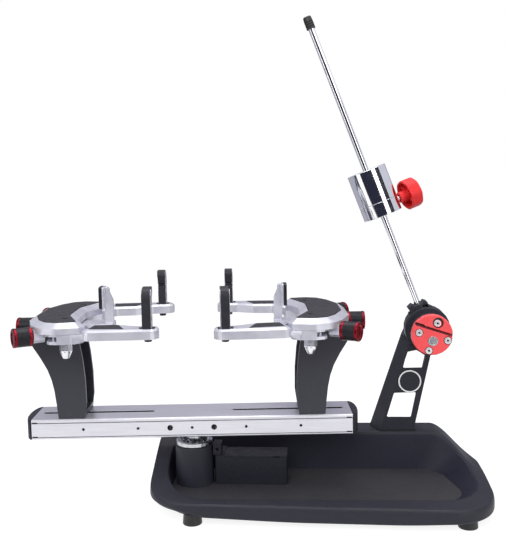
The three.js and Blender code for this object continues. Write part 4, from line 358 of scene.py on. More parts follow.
MATERIALS = {
    "tray": grained_finish("powder_coat"),
    "foot_rubber": grained_finish("rubber"),
    "black_plastic": grained_finish("black_plastic"),
    "steel": grained_finish("steel"),
    "chrome": chrome(),
    "red_plastic": grained_finish("red_plastic"),
    "red_metal": grained_finish("red_disc_metal"),
    "beam_metal": extruded_metal(),
    "tower_paint": grained_finish("tower_paint"),
    "cast_metal": grained_finish("cast_metal"),
    "pad": pad_rubber(),
    "knob": grained_finish("grip_plastic"),
}
RED_RING = grained_finish("red_anodised")
SUPPORT_PLASTIC = grained_finish("support_plastic")
BRIGHT_STEEL = grained_finish("bright_steel")
NUT_STEEL = grained_finish("nut_steel")
PLATE_METAL = grained_finish("plate_metal")
TRAY_FLOOR_GRAIN_AND_LIGHT = grained_finish("tray_floor_grain_and_painted_light")
TRAY_WALL_SHADED = grained_finish("tray_wall_painted_shade")
WHITE_PAINT = grained_finish("white_paint")
PAINTED_SHADE_BLACK = grained_finish("painted_shade_black")


def dress_nodes():
    """Every CAD node gets the material of its slot in the record."""
    for name, entry in SUBPARTS.items():
        node = frame["nodes"][name]
        node.data.materials.clear()
        node.data.materials.append(MATERIALS[entry["material_slot"]])


# Mesh helpers


def filleted(profile):
    """A profile of (radius, height) points, where a third number rounds that corner by that length."""
    points = []
    for at, point in enumerate(profile):
        reach = point[2] if len(point) > 2 else 0
        corner = Vector(point[:2])
        if not reach or at in (0, len(profile) - 1):
            points.append(tuple(corner))
            continue
        start = corner + (Vector(profile[at - 1][:2]) - corner).normalized() * reach
        end = corner + (Vector(profile[at + 1][:2]) - corner).normalized() * reach
        for step in range(FILLET_STEPS + 1):
            share = step / FILLET_STEPS
            points.append(tuple(start.lerp(corner, share).lerp(corner.lerp(end, share), share)))
    return points


def hexagon_wave(angle):
    """How far a hexagon of corner radius one draws in at an angle."""
    sixth = math.tau / HEXAGON_SIDES
    return 1 - math.cos(sixth / 2) / math.cos(angle % sixth - sixth / 2)


def spun(profile, steps=ROUND_STEPS, wave=None, waved=()):
    """A body turned around z. The wave draws in the profile's corners that waved names."""
    build = bmesh.new()
    rings = []
    rows = filleted(profile)
    for at, (radius, height) in enumerate(rows):
        if radius == 0:
            rings.append([build.verts.new((0, 0, height * MM))])
            continue
        ring = []
        for step in range(steps):
            angle = math.tau * step / steps
            size = radius * (1 - wave(angle)) if at in waved else radius
            spot = Vector((math.cos(angle) * size, math.sin(angle) * size, height)) * MM
            ring.append(build.verts.new(spot))
        rings.append(ring)
    for lower, upper in zip(rings, rings[1:]):
        for at in range(steps):
            after = (at + 1) % steps
            corners = [lower[at % len(lower)], lower[after % len(lower)],
                       upper[after % len(upper)], upper[at % len(upper)]]
            build.faces.new(list(dict.fromkeys(corners)))
    return finished_mesh(build)


def finished_mesh(build, crease=SMOOTH_ANGLE):
    bmesh.ops.recalc_face_normals(build, faces=build.faces)
    mesh = bpy.data.meshes.new("shape")
    build.to_mesh(mesh)
    build.free()
    mesh.shade_smooth()
    mesh.set_sharp_from_angle(angle=crease)
    return mesh


def rounded_outline(corners, arc_steps, edge_steps=1):
    """The points of an outline whose corners (x, y, radius) are rounded, with its edges divided."""
    arcs = []
    for at, (x, y, radius) in enumerate(corners):
        corner = Vector((x, y))
        back = Vector(corners[at - 1][:2]) - corner
        ahead = Vector(corners[(at + 1) % len(corners)][:2]) - corner
        room = min(back.length, ahead.length) / 2
        back.normalize()
        ahead.normalize()
        half = back.angle(ahead) / 2
        reach = min(radius / math.tan(half), room)
        middle = corner + (back + ahead).normalized() * (reach / math.cos(half))
        start = corner + back * reach - middle
        end = corner + ahead * reach - middle
        sweep = math.atan2(start.x * end.y - start.y * end.x, start.dot(end))
        turns = [Matrix.Rotation(sweep * step / arc_steps, 2) for step in range(arc_steps + 1)]
        arcs.append([middle + turn @ start for turn in turns])
    points = []
    for at, arc in enumerate(arcs):
        points += arc
        following = arcs[(at + 1) % len(arcs)][0]
        points += [arc[-1].lerp(following, step / edge_steps) for step in range(1, edge_steps)]
    return points


def slab(outline, low, high):
    """A prism from a flat outline of (x, y) points."""
    build = bmesh.new()
    lower = [build.verts.new((x * MM, y * MM, low * MM)) for x, y in outline]
    upper = [build.verts.new((x * MM, y * MM, high * MM)) for x, y in outline]
    build.faces.new(lower[::-1])
    build.faces.new(upper)
    for at in range(len(outline)):
        after = (at + 1) % len(outline)
        build.faces.new((lower[at], lower[after], upper[after], upper[at]))
    return finished_mesh(build)


def standing(origin, axis, side=(0, 0, 1)):
    """The place of a body whose own z runs along an axis from an origin in millimetres."""
    z = Vector(axis).normalized()
    x = Vector(side) - z * Vector(side).dot(z)
    if x.length < MERGE_DISTANCE:
        x = z.orthogonal()
    x.normalize()
    turn = Matrix((x, z.cross(x), z)).transposed().to_4x4()
    return shifted(origin) @ turn


def turned(angle, axis="Z"):
    return Matrix.Rotation(angle, 4, axis)


def shifted(place):
    """A shift by millimetres."""
    return Matrix.Translation(Vector(place) * MM)


def box_center(node):
    """The middle of a CAD node's box, in millimetres."""
    low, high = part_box(node)
    return (low + high) / 2 / MM


def round_edges(piece, width, crease, steps):
    bevel = piece.modifiers.new("edges", "BEVEL")
    bevel.width = width * MM
    bevel.segments = steps
    bevel.limit_method = "ANGLE"
    bevel.angle_limit = crease


def even_shading(piece):
    """Wide faces keep their own direction next to narrow ones."""
    shading = piece.modifiers.new("shading", "WEIGHTED_NORMAL")
    shading.keep_sharp = True


def add_piece(
    name, mesh, node, place=None, material=None, stands_for=(), edge=0, crease=CREASE_ANGLE, steps=2,
):
    """A piece that moves with a CAD node's body and takes its finish from that node's slot."""
    slot = SUBPARTS[node]["material_slot"]
    piece = bpy.data.objects.new(name, mesh)
    scene.collection.objects.link(piece)
    if place is not None:
        piece.matrix_world = place
    mesh.materials.clear()
    mesh.materials.append(material or MATERIALS[slot])
    if edge:
        round_edges(piece, edge, crease, steps)
    even_shading(piece)
    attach(piece, frame["nodes"][node]["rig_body"])
    if stands_for:
        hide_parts(*stands_for)
    return piece


def soften(node, edge, crease=CREASE_ANGLE, steps=2, material=None):
    """The node's own shape with rounded edges and smooth curves, in place of the node."""
    source = frame["nodes"][node].data
    build = bmesh.new()
    corners = [build.verts.new(vertex.co) for vertex in source.vertices]
    for polygon in source.polygons:
        build.faces.new([corners[at] for at in polygon.vertices])
    bmesh.ops.remove_doubles(build, verts=build.verts, dist=MERGE_DISTANCE)
    bmesh.ops.dissolve_limit(build, angle_limit=FLAT_ANGLE, verts=build.verts, edges=build.edges)
    mesh = finished_mesh(build, crease)
    add_piece(node + "_form", mesh, node, None, material, [node], edge, crease, steps)


# Pieces of the machine

ROUND_CREASE = math.radians(34)
SOFT_EDGES = [
    (0.8, CREASE_ANGLE, ("tool_box", "tool_box_lid", "brake_block")),
    (0.35, CREASE_ANGLE, ("beam",)),
    (1.0, ROUND_CREASE, ("left_beam_cap", "right_beam_cap")),
    (0.9, CREASE_ANGLE, ("tension_post",)),
    (1.0, CREASE_ANGLE, ("left_tower", "right_tower")),
    (0.6, CREASE_ANGLE, ("left_head_plate", "right_head_plate")),
    (0.4, ROUND_CREASE, ("left_head_pad", "right_head_pad")),
    (0.4, CREASE_ANGLE, ("left_center_support", "right_center_support")),
    (0.4, CREASE_ANGLE, ("left_center_pad", "right_center_pad")),
    (0.6, ROUND_CREASE, ("bar_holder", "ratchet_housing")),
    (0.4, ROUND_CREASE, ("gripper_plate", "gripper_jaw")),
    (0.4, ROUND_CREASE, ("turntable_column",)),
]
ARM_EDGE = 0.6
ARM_PAD_EDGE = 0.3
SUPPORT_EDGE = 2.6
SUPPORT_STEPS = 4
BOLT_EDGE = 0.25


def soften_nodes():
    for width, crease, nodes in SOFT_EDGES:
        for node in nodes:
            soften(node, width, crease)
    for side, face in ARMS:
        soften(f"{side}_{face}_arm", ARM_EDGE)
        soften(f"{side}_{face}_arm_pad", ARM_PAD_EDGE)
        soften(f"{side}_{face}_side_support", SUPPORT_EDGE, ROUND_CREASE, SUPPORT_STEPS, SUPPORT_PLASTIC)
    for side in ("left", "right"):
        soften(f"{side}_clamp_bolt", BOLT_EDGE)


# Tension bar and weight

ROD_RADIUS = 4.75
ROD_START = 14
ROD_END = 502
CAP_START = 497
CAP_END = 516.7
CAP_RADIUS = 7
CAP_TIP_RADIUS = 6.2
CAP_RIB = 0.6
CAP_RIB_PLACES = (501, 504.5, 508)
CAP_TIP_EDGE = 1.8
WEIGHT_RADIUS = 30.5
WEIGHT_LOW = 191
WEIGHT_SEAM = 212.5
WEIGHT_HIGH = 265
WEIGHT_BORE = 5.3
WEIGHT_EDGE = 0.8
SEAM_EDGE = 0.5
SEAM_GAP = 0.3


def add_bar():
    place = standing(BAR_AXIS, joint_axis("weight_slide"))
    add_piece("bar_rod", spun([
        (0, ROD_START), (ROD_RADIUS, ROD_START, SEAM_EDGE), (ROD_RADIUS, ROD_END, SEAM_EDGE), (0, ROD_END),
    ]), "drop_bar", place, stands_for=["drop_bar"])
    profile = [(ROD_RADIUS, CAP_START), (CAP_RADIUS, CAP_START, SEAM_EDGE)]
    for height in CAP_RIB_PLACES:
        profile += [(CAP_RADIUS, height - CAP_RIB), (CAP_RADIUS - CAP_RIB, height)]
        profile.append((CAP_RADIUS, height + CAP_RIB))
    profile += [(CAP_TIP_RADIUS, CAP_END, CAP_TIP_EDGE), (0, CAP_END)]
    add_piece("bar_tip", spun(profile, SMALL_STEPS), "bar_end_cap", place, stands_for=["bar_end_cap"])
    add_piece("weight_body", spun([
        (WEIGHT_BORE, WEIGHT_SEAM + SEAM_GAP), (WEIGHT_RADIUS, WEIGHT_SEAM + SEAM_GAP, SEAM_EDGE),
        (WEIGHT_RADIUS, WEIGHT_HIGH, WEIGHT_EDGE), (WEIGHT_BORE, WEIGHT_HIGH, SEAM_EDGE),
        (WEIGHT_BORE, WEIGHT_SEAM + SEAM_GAP),
    ]), "drop_weight", place, stands_for=["drop_weight"])
    add_piece("weight_ring", spun([
        (WEIGHT_BORE, WEIGHT_LOW), (WEIGHT_RADIUS, WEIGHT_LOW, WEIGHT_EDGE),
        (WEIGHT_RADIUS, WEIGHT_SEAM, SEAM_EDGE), (WEIGHT_BORE, WEIGHT_SEAM), (WEIGHT_BORE, WEIGHT_LOW),
    ]), "weight_collar", place, stands_for=["weight_collar"])


# Hand wheel that clamps the weight

WHEEL_START = 46
WHEEL_THICKNESS = 20
WHEEL_RADIUS = 23.7
WHEEL_LOBES = 8
WHEEL_LOBE_SHARE = 0.03
WHEEL_WALL = 3.2
WHEEL_FLOOR = 7
WHEEL_HUB = 8.6
WHEEL_HUB_START = 35.5
WHEEL_HUB_HOLE = 5.4
WHEEL_HUB_DEPTH = 2.5
WHEEL_EDGE = 1.2
WHEEL_CROWN = 3.5
WHEEL_RIB = 2.2
WHEEL_RIBS = 4
WHEEL_RIB_DROP = 4
STUD_RADIUS = 4
STUD_EDGE = 0.6


def lobe_wave(angle):
    """How far the hand wheel's rim draws in between its lobes."""
    return WHEEL_LOBE_SHARE * (1 - math.cos(angle * WHEEL_LOBES)) / 2


def add_weight_knob():
    place = standing(joint_place("weight_knob_turn"), joint_axis("weight_knob_turn"))
    start = WHEEL_START
    end = start + WHEEL_THICKNESS
    inner = WHEEL_RADIUS - WHEEL_WALL
    floor = end - WHEEL_FLOOR
    hole_floor = WHEEL_HUB_START + WHEEL_HUB_DEPTH
    profile = [
        (STUD_RADIUS, hole_floor), (WHEEL_HUB_HOLE, hole_floor),
        (WHEEL_HUB_HOLE, WHEEL_HUB_START, STUD_EDGE),
        (WHEEL_HUB, WHEEL_HUB_START, WHEEL_EDGE),
        (WHEEL_HUB, floor, WHEEL_EDGE), (inner, floor, WHEEL_EDGE),
        (inner, start, STUD_EDGE), (WHEEL_RADIUS, start, WHEEL_EDGE),
        (WHEEL_RADIUS, end, WHEEL_CROWN), (0, end),
    ]
    waved = [at for at, row in enumerate(filleted(profile)) if row[0] > WHEEL_HUB]
    cap = spun(profile, ROUND_STEPS, lobe_wave, waved)
    add_piece("weight_knob_cap", cap, "weight_knob", place, stands_for=["weight_knob"])
    root, half = WHEEL_HUB - STUD_EDGE, WHEEL_RIB / 2
    step = math.tau / WHEEL_RIBS
    for turn in range(WHEEL_RIBS):
        outline = [(root, -half), (inner, -half), (inner, half), (root, half)]
        rib = slab(outline, start + WHEEL_RIB_DROP, floor + STUD_EDGE)
        add_piece(f"weight_knob_rib_{turn}", rib, "weight_knob", place @ turned(step * turn + step / 2))
    add_piece("weight_knob_stud", spun([
        (0, ROD_RADIUS + SEAM_GAP), (STUD_RADIUS, ROD_RADIUS + SEAM_GAP, STUD_EDGE),
        (STUD_RADIUS, start), (0, start),
    ], SMALL_STEPS), "weight_knob", place, material=MATERIALS["steel"])


# Adjuster knobs

KNOB_NODES = ["left_center_knob", "right_center_knob"] + [f"{side}_{face}_knob" for side, face in ARMS]
KNOB_NECK_START = 0.3
KNOB_NECK_END = 1.5
KNOB_NECK_RADIUS = 8
KNOB_RING = 4.6
KNOB_RING_RADIUS = 14.3
KNOB_GRIP = 17.6
KNOB_GRIP_RADIUS = 13.9
KNOB_EDGE = 1.6
KNOB_GROOVE = 0.5
KNOB_CAP_RADIUS = 8.5
KNOB_CAP_DROP = 1.4
KNOB_GRIP_LOBES = 12
KNOB_GRIP_LOBE_SHARE = 0.02
SCREW_RADIUS = 3
SIDE_SCREW_LENGTH = 27
CENTER_SCREW_LENGTH = 76


def grip_wave(angle):
    """Shallow finger hollows around the grip."""
    return KNOB_GRIP_LOBE_SHARE * max(0, math.cos(angle * KNOB_GRIP_LOBES)) ** 2


def add_adjuster_knobs():
    first = KNOB_NECK_END
    grip = first + KNOB_RING
    second = grip + KNOB_GRIP
    end = second + KNOB_RING
    for node in KNOB_NODES:
        place = standing(joint_place(node + "_turn"), joint_axis(node + "_turn"))
        length = CENTER_SCREW_LENGTH if "center" in node else SIDE_SCREW_LENGTH
        add_piece(node + "_inner_ring", spun([
            (0, first), (KNOB_RING_RADIUS, first, KNOB_EDGE),
            (KNOB_RING_RADIUS, grip - KNOB_GROOVE, KNOB_GROOVE), (KNOB_GRIP_RADIUS, grip), (0, grip),
        ]), node, place, material=RED_RING)
        grip_profile = [(0, grip), (KNOB_GRIP_RADIUS, grip), (KNOB_GRIP_RADIUS, second), (0, second)]
        add_piece(node + "_grip", spun(grip_profile, ROUND_STEPS, grip_wave, (1, 2)), node, place,
                  stands_for=[node])
        add_piece(node + "_outer_ring", spun([
            (0, second), (KNOB_GRIP_RADIUS, second), (KNOB_RING_RADIUS, second + KNOB_GROOVE, KNOB_GROOVE),
            (KNOB_RING_RADIUS, end, KNOB_EDGE), (KNOB_CAP_RADIUS + KNOB_EDGE, end, KNOB_EDGE / 2),
            (KNOB_CAP_RADIUS, end - KNOB_CAP_DROP, KNOB_EDGE / 2), (0, end - KNOB_CAP_DROP),
        ]), node, place, material=RED_RING)
        add_piece(node + "_screw", spun([
            (0, -length), (SCREW_RADIUS, -length, STUD_EDGE), (SCREW_RADIUS, KNOB_NECK_START),
            (KNOB_NECK_RADIUS, KNOB_NECK_START, STUD_EDGE / 2), (KNOB_NECK_RADIUS, first), (0, first),
        ], SMALL_STEPS), node, place, material=MATERIALS["steel"])


# Feet

FOOT_NODES = [f"{face}_{side}_foot" for face in ("front", "back") for side in ("left", "right")]
FOOT_HEIGHT = 17
FOOT_RADIUS = 14.5
FOOT_TOP_RADIUS = 13
FOOT_EDGE = 2
FOOT_SCREW_RADIUS = 4
FOOT_SCREW_RISE = 3


def add_feet():
    for node in FOOT_NODES:
        center = box_center(node)
        add_piece(node + "_form", spun([
            (0, FOOT_SCREW_RISE), (FOOT_SCREW_RADIUS, FOOT_SCREW_RISE), (FOOT_SCREW_RADIUS, 0, STUD_EDGE),
            (FOOT_RADIUS, 0, FOOT_EDGE), (FOOT_TOP_RADIUS, FOOT_HEIGHT, STUD_EDGE), (0, FOOT_HEIGHT),
        ]), node, standing((center.x, center.y, 0), (0, 0, 1)), stands_for=[node])


# Gripper screws and disc, with painted shade round and in the screws, along the string slot and on the step

GRIPPER_SCREWS = [(7.5, 18.1), (-19.3, 3.6), (23.2, -8.5), (-4.9, -23.8)]
GRIPPER_SCREW_RADIUS = 5.2
GRIPPER_SCREW_PROUD = 1.1
GRIPPER_SOCKET_RADIUS = 1.9
GRIPPER_SOCKET_DEPTH = 1.4
GRIPPER_SCREW_MARGIN = 0.9
SCREW_ROUND_SHARE = 0.6
SOCKET_RIM_SHARE = 1.25
SOCKET_EDGE_SHARE = 0.2
# Painted shade: dark rings round the screw heads, dark discs in their sockets, a dark line along the string
# slot and a dark sheet on the step
SHADE_SINK = 0.5
SHADE_PROUD = 0.12
SOCKET_SHADE_DROP = 0.25
SLOT_LINE_HALF = 28.5
SLOT_LINE_LOW = 6.7
SLOT_LINE_HIGH = 7.85
GRIPPER_STEP = -7.0
STEP_RADIUS = 30.4
STEP_ARC = (15, 165, 5)
STEP_SHADE_THICKNESS = 0.2
GRIPPER_BADGE = (1.0, -9.2)
GRIPPER_BADGE_RADIUS = 7.5
GRIPPER_BADGE_PROUD = 1.4
GRIPPER_BADGE_ROOT = 1
GRIPPER_BADGE_RIM = 1.6
GRIPPER_BADGE_EDGE = 0.4
JAW_SCREW_PROUD = 2.2
JAW_HOLE_RADIUS = 8
JAW_HOLE_PLACE = (8.8, 18.6)


def socket_head(profile):
    """A turned head whose profile ends in a socket, which is drawn in to a hexagon."""
    last = len(filleted(profile)) - 1
    return spun(profile, SMALL_STEPS, hexagon_wave, (last - 2, last - 1))


def socket_screw(radius, proud, socket, depth):
    """A round screw head with a hexagonal socket."""
    return socket_head([
        (0, -proud), (radius, -proud), (radius, proud, proud * SCREW_ROUND_SHARE),
        (socket * SOCKET_RIM_SHARE, proud, proud * SOCKET_EDGE_SHARE),
        (socket, proud - depth * SOCKET_EDGE_SHARE), (socket, proud - depth), (0, proud - depth),
    ])


def front_place(x, z, y=GRIPPER_FACE, turn=0.0):
    """A place on the front of the machine whose own z faces the operator and whose own y points up."""
    return standing((x, y, z), (0, -1, 0), (1, 0, 0)) @ turned(turn)


def add_gripper_screws():
    x, z = BAR_AXIS.x, BAR_AXIS.z
    for at, (side, up) in enumerate(GRIPPER_SCREWS):
        on_jaw = at == 0
        proud = JAW_SCREW_PROUD if on_jaw else GRIPPER_SCREW_PROUD
        add_piece(f"gripper_screw_{at}", socket_screw(
            GRIPPER_SCREW_RADIUS, proud, GRIPPER_SOCKET_RADIUS, GRIPPER_SOCKET_DEPTH,
        ), "gripper_plate", front_place(x + side, z + up), material=BRIGHT_STEEL)
        # A dark ring round each screw head: painted shade where the head sits
        rim = JAW_HOLE_RADIUS if on_jaw else GRIPPER_SCREW_RADIUS + GRIPPER_SCREW_MARGIN
        shade_side, shade_up = JAW_HOLE_PLACE if on_jaw else (side, up)
        node = "gripper_jaw" if on_jaw else "gripper_plate"
        add_piece(f"gripper_screw_shade_ring_{at}", spun([
            (0, -SHADE_SINK), (rim, -SHADE_SINK), (rim, SHADE_PROUD), (0, SHADE_PROUD),
        ], SMALL_STEPS), node, front_place(x + shade_side, z + shade_up), material=PAINTED_SHADE_BLACK)
        # A dark disc down in the socket: painted shade
        add_piece(f"gripper_socket_shade_{at}", spun([
            (0, 0), (GRIPPER_SOCKET_RADIUS, 0), (GRIPPER_SOCKET_RADIUS, proud - SOCKET_SHADE_DROP),
            (0, proud - SOCKET_SHADE_DROP),
        ], SMALL_STEPS), "gripper_plate", front_place(x + side, z + up), material=PAINTED_SHADE_BLACK)


def add_gripper_trim():
    x, z = BAR_AXIS.x, BAR_AXIS.z
    rim = GRIPPER_BADGE_RADIUS - GRIPPER_BADGE_RIM
    dish = GRIPPER_BADGE_PROUD - GRIPPER_BADGE_EDGE
    badge = spun([
        (0, -GRIPPER_BADGE_ROOT), (GRIPPER_BADGE_RADIUS, -GRIPPER_BADGE_ROOT),
        (GRIPPER_BADGE_RADIUS, GRIPPER_BADGE_PROUD, GRIPPER_BADGE_EDGE),
        (rim, GRIPPER_BADGE_PROUD, GRIPPER_BADGE_EDGE / 2),
        (rim - GRIPPER_BADGE_EDGE, dish, GRIPPER_BADGE_EDGE / 2), (0, dish),
    ], SMALL_STEPS)
    place = front_place(x + GRIPPER_BADGE[0], z + GRIPPER_BADGE[1])
    add_piece("gripper_badge", badge, "gripper_plate", place, MATERIALS["steel"])
    # A dark line along the string slot: painted shade
    line = slab([
        (-SLOT_LINE_HALF, SLOT_LINE_LOW), (SLOT_LINE_HALF, SLOT_LINE_LOW),
        (SLOT_LINE_HALF, SLOT_LINE_HIGH), (-SLOT_LINE_HALF, SLOT_LINE_HIGH),
    ], -SHADE_SINK, SHADE_PROUD)
    place = front_place(x, z, GRIPPER_FACE, GRIP_TURN)
    add_piece("gripper_slot_shade", line, "gripper_plate", place, PAINTED_SHADE_BLACK)
    # A dark sheet on the step floor under the jaw: painted shade
    arc = [math.radians(angle) for angle in range(STEP_ARC[0], STEP_ARC[1] + 1, STEP_ARC[2])]
    outline = [(STEP_RADIUS * math.cos(angle), STEP_RADIUS * math.sin(angle)) for angle in arc]
    step = front_place(x, z, GRIPPER_STEP, GRIP_TURN)
    add_piece("gripper_step_shade", slab(outline, 0, STEP_SHADE_THICKNESS), "gripper_plate", step, PAINTED_SHADE_BLACK)


# Pivot bolts with their domed flange nuts

PIVOT_TOP = 303.1
PIVOT_HEAD_RADIUS = 6
PIVOT_HEAD_HEIGHT = 5.6
PIVOT_SOCKET_RADIUS = 2.6
PIVOT_SOCKET_DEPTH = 2.6
PIVOT_RADIUS = 4
PIVOT_EDGE = 0.7
NUT_TOP = 275.2
NUT_FLANGE_RADIUS = 10.4
NUT_FLANGE_HEIGHT = 2.4
NUT_HEX_RADIUS = 9.6
NUT_HEX_HEIGHT = 14.5
NUT_NECK_RADIUS = 7.2
NUT_TIP_RADIUS = 4.4
NUT_HEIGHT = 29
NUT_EDGE = 0.8
NUT_TIP_EDGE = 1.6
NUT_SHOULDER = 5.8
NUT_DOME = 3
NUT_EYES = 2
NUT_EYE_RADIUS = 2.4
NUT_EYE_RISE = 5
NUT_EYE_ROOT = 4.8
NUT_EYE_REACH = 5.6


def domed_nut():
    tip = NUT_TOP - NUT_HEIGHT
    flange_low = NUT_TOP - NUT_FLANGE_HEIGHT
    hex_low = flange_low - NUT_HEX_HEIGHT
    profile = [
        (0, tip), (NUT_TIP_RADIUS, tip, NUT_TIP_EDGE), (NUT_NECK_RADIUS, tip + NUT_SHOULDER, NUT_DOME),
        (NUT_HEX_RADIUS, hex_low, NUT_EDGE), (NUT_HEX_RADIUS, flange_low, NUT_EDGE),
        (NUT_FLANGE_RADIUS, flange_low, NUT_EDGE), (NUT_FLANGE_RADIUS, NUT_TOP), (0, NUT_TOP),
    ]
    low, high = hex_low - NUT_EDGE, flange_low - NUT_EDGE
    waved = [at for at, row in enumerate(filleted(profile)) if low <= row[1] <= high]
    return spun(profile, SMALL_STEPS, hexagon_wave, waved)


def pivot_head():
    head_low = PIVOT_TOP - PIVOT_HEAD_HEIGHT
    socket_floor = PIVOT_TOP - PIVOT_SOCKET_DEPTH
    flange_low = NUT_TOP - NUT_FLANGE_HEIGHT
    return socket_head([
        (0, flange_low), (PIVOT_RADIUS, flange_low), (PIVOT_RADIUS, head_low),
        (PIVOT_HEAD_RADIUS, head_low, PIVOT_EDGE), (PIVOT_HEAD_RADIUS, PIVOT_TOP, PIVOT_EDGE),
        (PIVOT_SOCKET_RADIUS, PIVOT_TOP, PIVOT_EDGE / 2), (PIVOT_SOCKET_RADIUS, socket_floor),
        (0, socket_floor),
    ])


def add_pivot_bolts():
    for side, face in ARMS:
        node = f"{side}_{face}_pivot_bolt"
        center = box_center(node)
        place = shifted((center.x, center.y, 0)) @ turned(TURNTABLE_TURN)
        add_piece(node + "_nut", domed_nut(), node, place, NUT_STEEL, [node])
        spot = shifted((center.x, center.y, NUT_TOP - NUT_HEIGHT + NUT_EYE_RISE))
        # Dark cylinders through the nut's neck: painted shade in its eyes
        for turn in range(NUT_EYES):
            eye_shade = spun([
                (0, -NUT_EYE_ROOT), (NUT_EYE_RADIUS, -NUT_EYE_ROOT),
                (NUT_EYE_RADIUS, NUT_EYE_REACH), (0, NUT_EYE_REACH),
            ], SMALL_STEPS)
            tilt = turned(math.pi / 2 + math.pi * turn, "X")
            add_piece(f"{node}_eye_{turn}", eye_shade, node, spot @ tilt, PAINTED_SHADE_BLACK)
        add_piece(node + "_head", pivot_head(), node, place, BRIGHT_STEEL)


# Pale plates on the side supports, with painted shade in their slits and holes and in the slots under the
# supports' feet

SUPPORT_FOOT = 298.2
SUPPORT_HALF_THICKNESS = 6
SUPPORT_DEPTH = 20.5
SUPPORT_PLATE = 0.7
SUPPORT_PLATE_CORNERS = [
    (3, 0.5, 1), (18.6, 0.5, 2), (18.6, 22, 3), (15.2, 28, 3), (18.6, 34, 3), (18.4, 54.6, 4), (3, 54.6, 11),
]
# The slit and the hole are painted shade: dark sheets a little proud of the pale plate
SUPPORT_SLIT_CORNERS = [(8.4, 33, 1.4), (11.6, 33, 1.4), (11.6, 47, 1.4), (8.4, 47, 1.4)]
SUPPORT_HOLE_CORNERS = [(7.6, 10, 2.2), (12.4, 10, 2.2), (12.4, 17, 2.2), (7.6, 17, 2.2)]
SUPPORT_SHADE_RISE = 0.15
# A dark sheet in the slot under each support's foot: painted shade
SLOT_SHADE_LENGTH = 21.5
SLOT_SHADE_WIDTH = 6.4
SLOT_SHADE_SPREAD = 3.2
SLOT_SHADE_REACH = 4
SLOT_SHADE_HEIGHT = 0.5
SUPPORT_PARTS = [
    ("plate", SUPPORT_PLATE_CORNERS, SUPPORT_PLATE, PLATE_METAL),
    ("slit", SUPPORT_SLIT_CORNERS, SUPPORT_PLATE + SUPPORT_SHADE_RISE, PAINTED_SHADE_BLACK),
    ("hole", SUPPORT_HOLE_CORNERS, SUPPORT_PLATE + SUPPORT_SHADE_RISE, PAINTED_SHADE_BLACK),
]


def add_flank_plates(side, face, outer, along, across):
    """The plates of a support's two flanks. Outer is the middle of its outer face, at the foot."""
    node = f"{side}_{face}_side_support"
    outward = -1 if face == "front" else 1
    for way in (-1, 1):
        # Own x runs inwards and own y up, so that own z leaves one flank and enters the other
        place = standing(outer + along * way * SUPPORT_HALF_THICKNESS, along * -outward, across * -outward)
        leaving = -outward * way
        label = "inner" if (way > 0) == (side == "left") else "outer"
        # The plate is pale metal; the slit and hole on it are dark sheets of painted shade
        for part, corners, proud, material in SUPPORT_PARTS:
            low, high = sorted((-SUPPORT_PLATE * leaving, proud * leaving))
            plate = slab(rounded_outline(corners, FILLET_STEPS), low, high)
            add_piece(f"{node}_{label}_{part}", plate, node, place, material)


def add_support_plates():
    half, wide = SLOT_SHADE_LENGTH / 2, SLOT_SHADE_WIDTH / 2
    reach, spread = half - SLOT_SHADE_REACH, wide + SLOT_SHADE_SPREAD
    support_slot_shade = [
        (-half, -spread), (-reach, -spread), (-reach, -wide), (reach, -wide), (reach, -spread),
        (half, -spread), (half, spread), (reach, spread), (reach, wide), (-reach, wide), (-reach, spread),
        (-half, spread),
    ]
    for side, face in ARMS:
        node = f"{side}_{face}_side_support"
        low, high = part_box(node)
        turn = level_turn(f"{side}_{face}_support_slide")
        along = Vector((math.cos(turn), math.sin(turn), 0))
        across = Vector((-math.sin(turn), math.cos(turn), 0))
        depth = ((high[1] - low[1]) / MM - SUPPORT_HALF_THICKNESS * 2 * math.sin(turn)) / math.cos(turn)
        center = box_center(node)
        outwards = across * (-1 if face == "front" else 1)
        outer = Vector((center.x, center.y, SUPPORT_FOOT)) + outwards * depth / 2
        add_flank_plates(side, face, outer, along, across)
        # Painted shade in the slot under the support's foot
        place = shifted(outer - outwards * SUPPORT_DEPTH / 2) @ turned(turn)
        plate = slab(support_slot_shade, 0, SLOT_SHADE_HEIGHT)
        add_piece(f"{node}_foot_plate", plate, node, place, PAINTED_SHADE_BLACK)


# Clamp block of the bar's holder, as seen from the front: across the bar and up along it

CLAMP_OUTLINE = [
    (-13, 25), (13, 25), (15, 40), (10, 44), (6, 41), (-6, 41), (-9, 44.5), (-17, 41), (-15, 34),
]
CLAMP_HALF_DEPTH = 12
CLAMP_EDGE = 0.8
CLAMP_SCREW_PLACES = [(-9, 33), (9, 33)]
CLAMP_SCREW_RADIUS = 2.6
CLAMP_SCREW_PROUD = 0.8
CLAMP_SOCKET_RADIUS = 1.3
CLAMP_SOCKET_DEPTH = 1


def add_clamp_block():
    place = front_place(BAR_AXIS.x, BAR_AXIS.z, BAR_AXIS.y, BAR_LEAN)
    block = slab(CLAMP_OUTLINE, -CLAMP_HALF_DEPTH, CLAMP_HALF_DEPTH)
    add_piece("holder_clamp_block", block, "bar_holder", place, edge=CLAMP_EDGE)
    for at, (across, up) in enumerate(CLAMP_SCREW_PLACES):
        spot = place @ shifted((across, up, CLAMP_HALF_DEPTH))
        screw = socket_screw(CLAMP_SCREW_RADIUS, CLAMP_SCREW_PROUD, CLAMP_SOCKET_RADIUS, CLAMP_SOCKET_DEPTH)
        add_piece(f"holder_clamp_screw_{at}", screw, "bar_holder", spot, PAINTED_SHADE_BLACK)


# Post badge

BADGE_CENTER = (253.393, 74.5, 172.9)
BADGE_RADIUS = 19
BADGE_PROUD = 1.6
BADGE_LINE = 2.1
BADGE_LINE_INSET = 0.6
BADGE_INK = 0.15
BADGE_INK_EDGE = 0.05


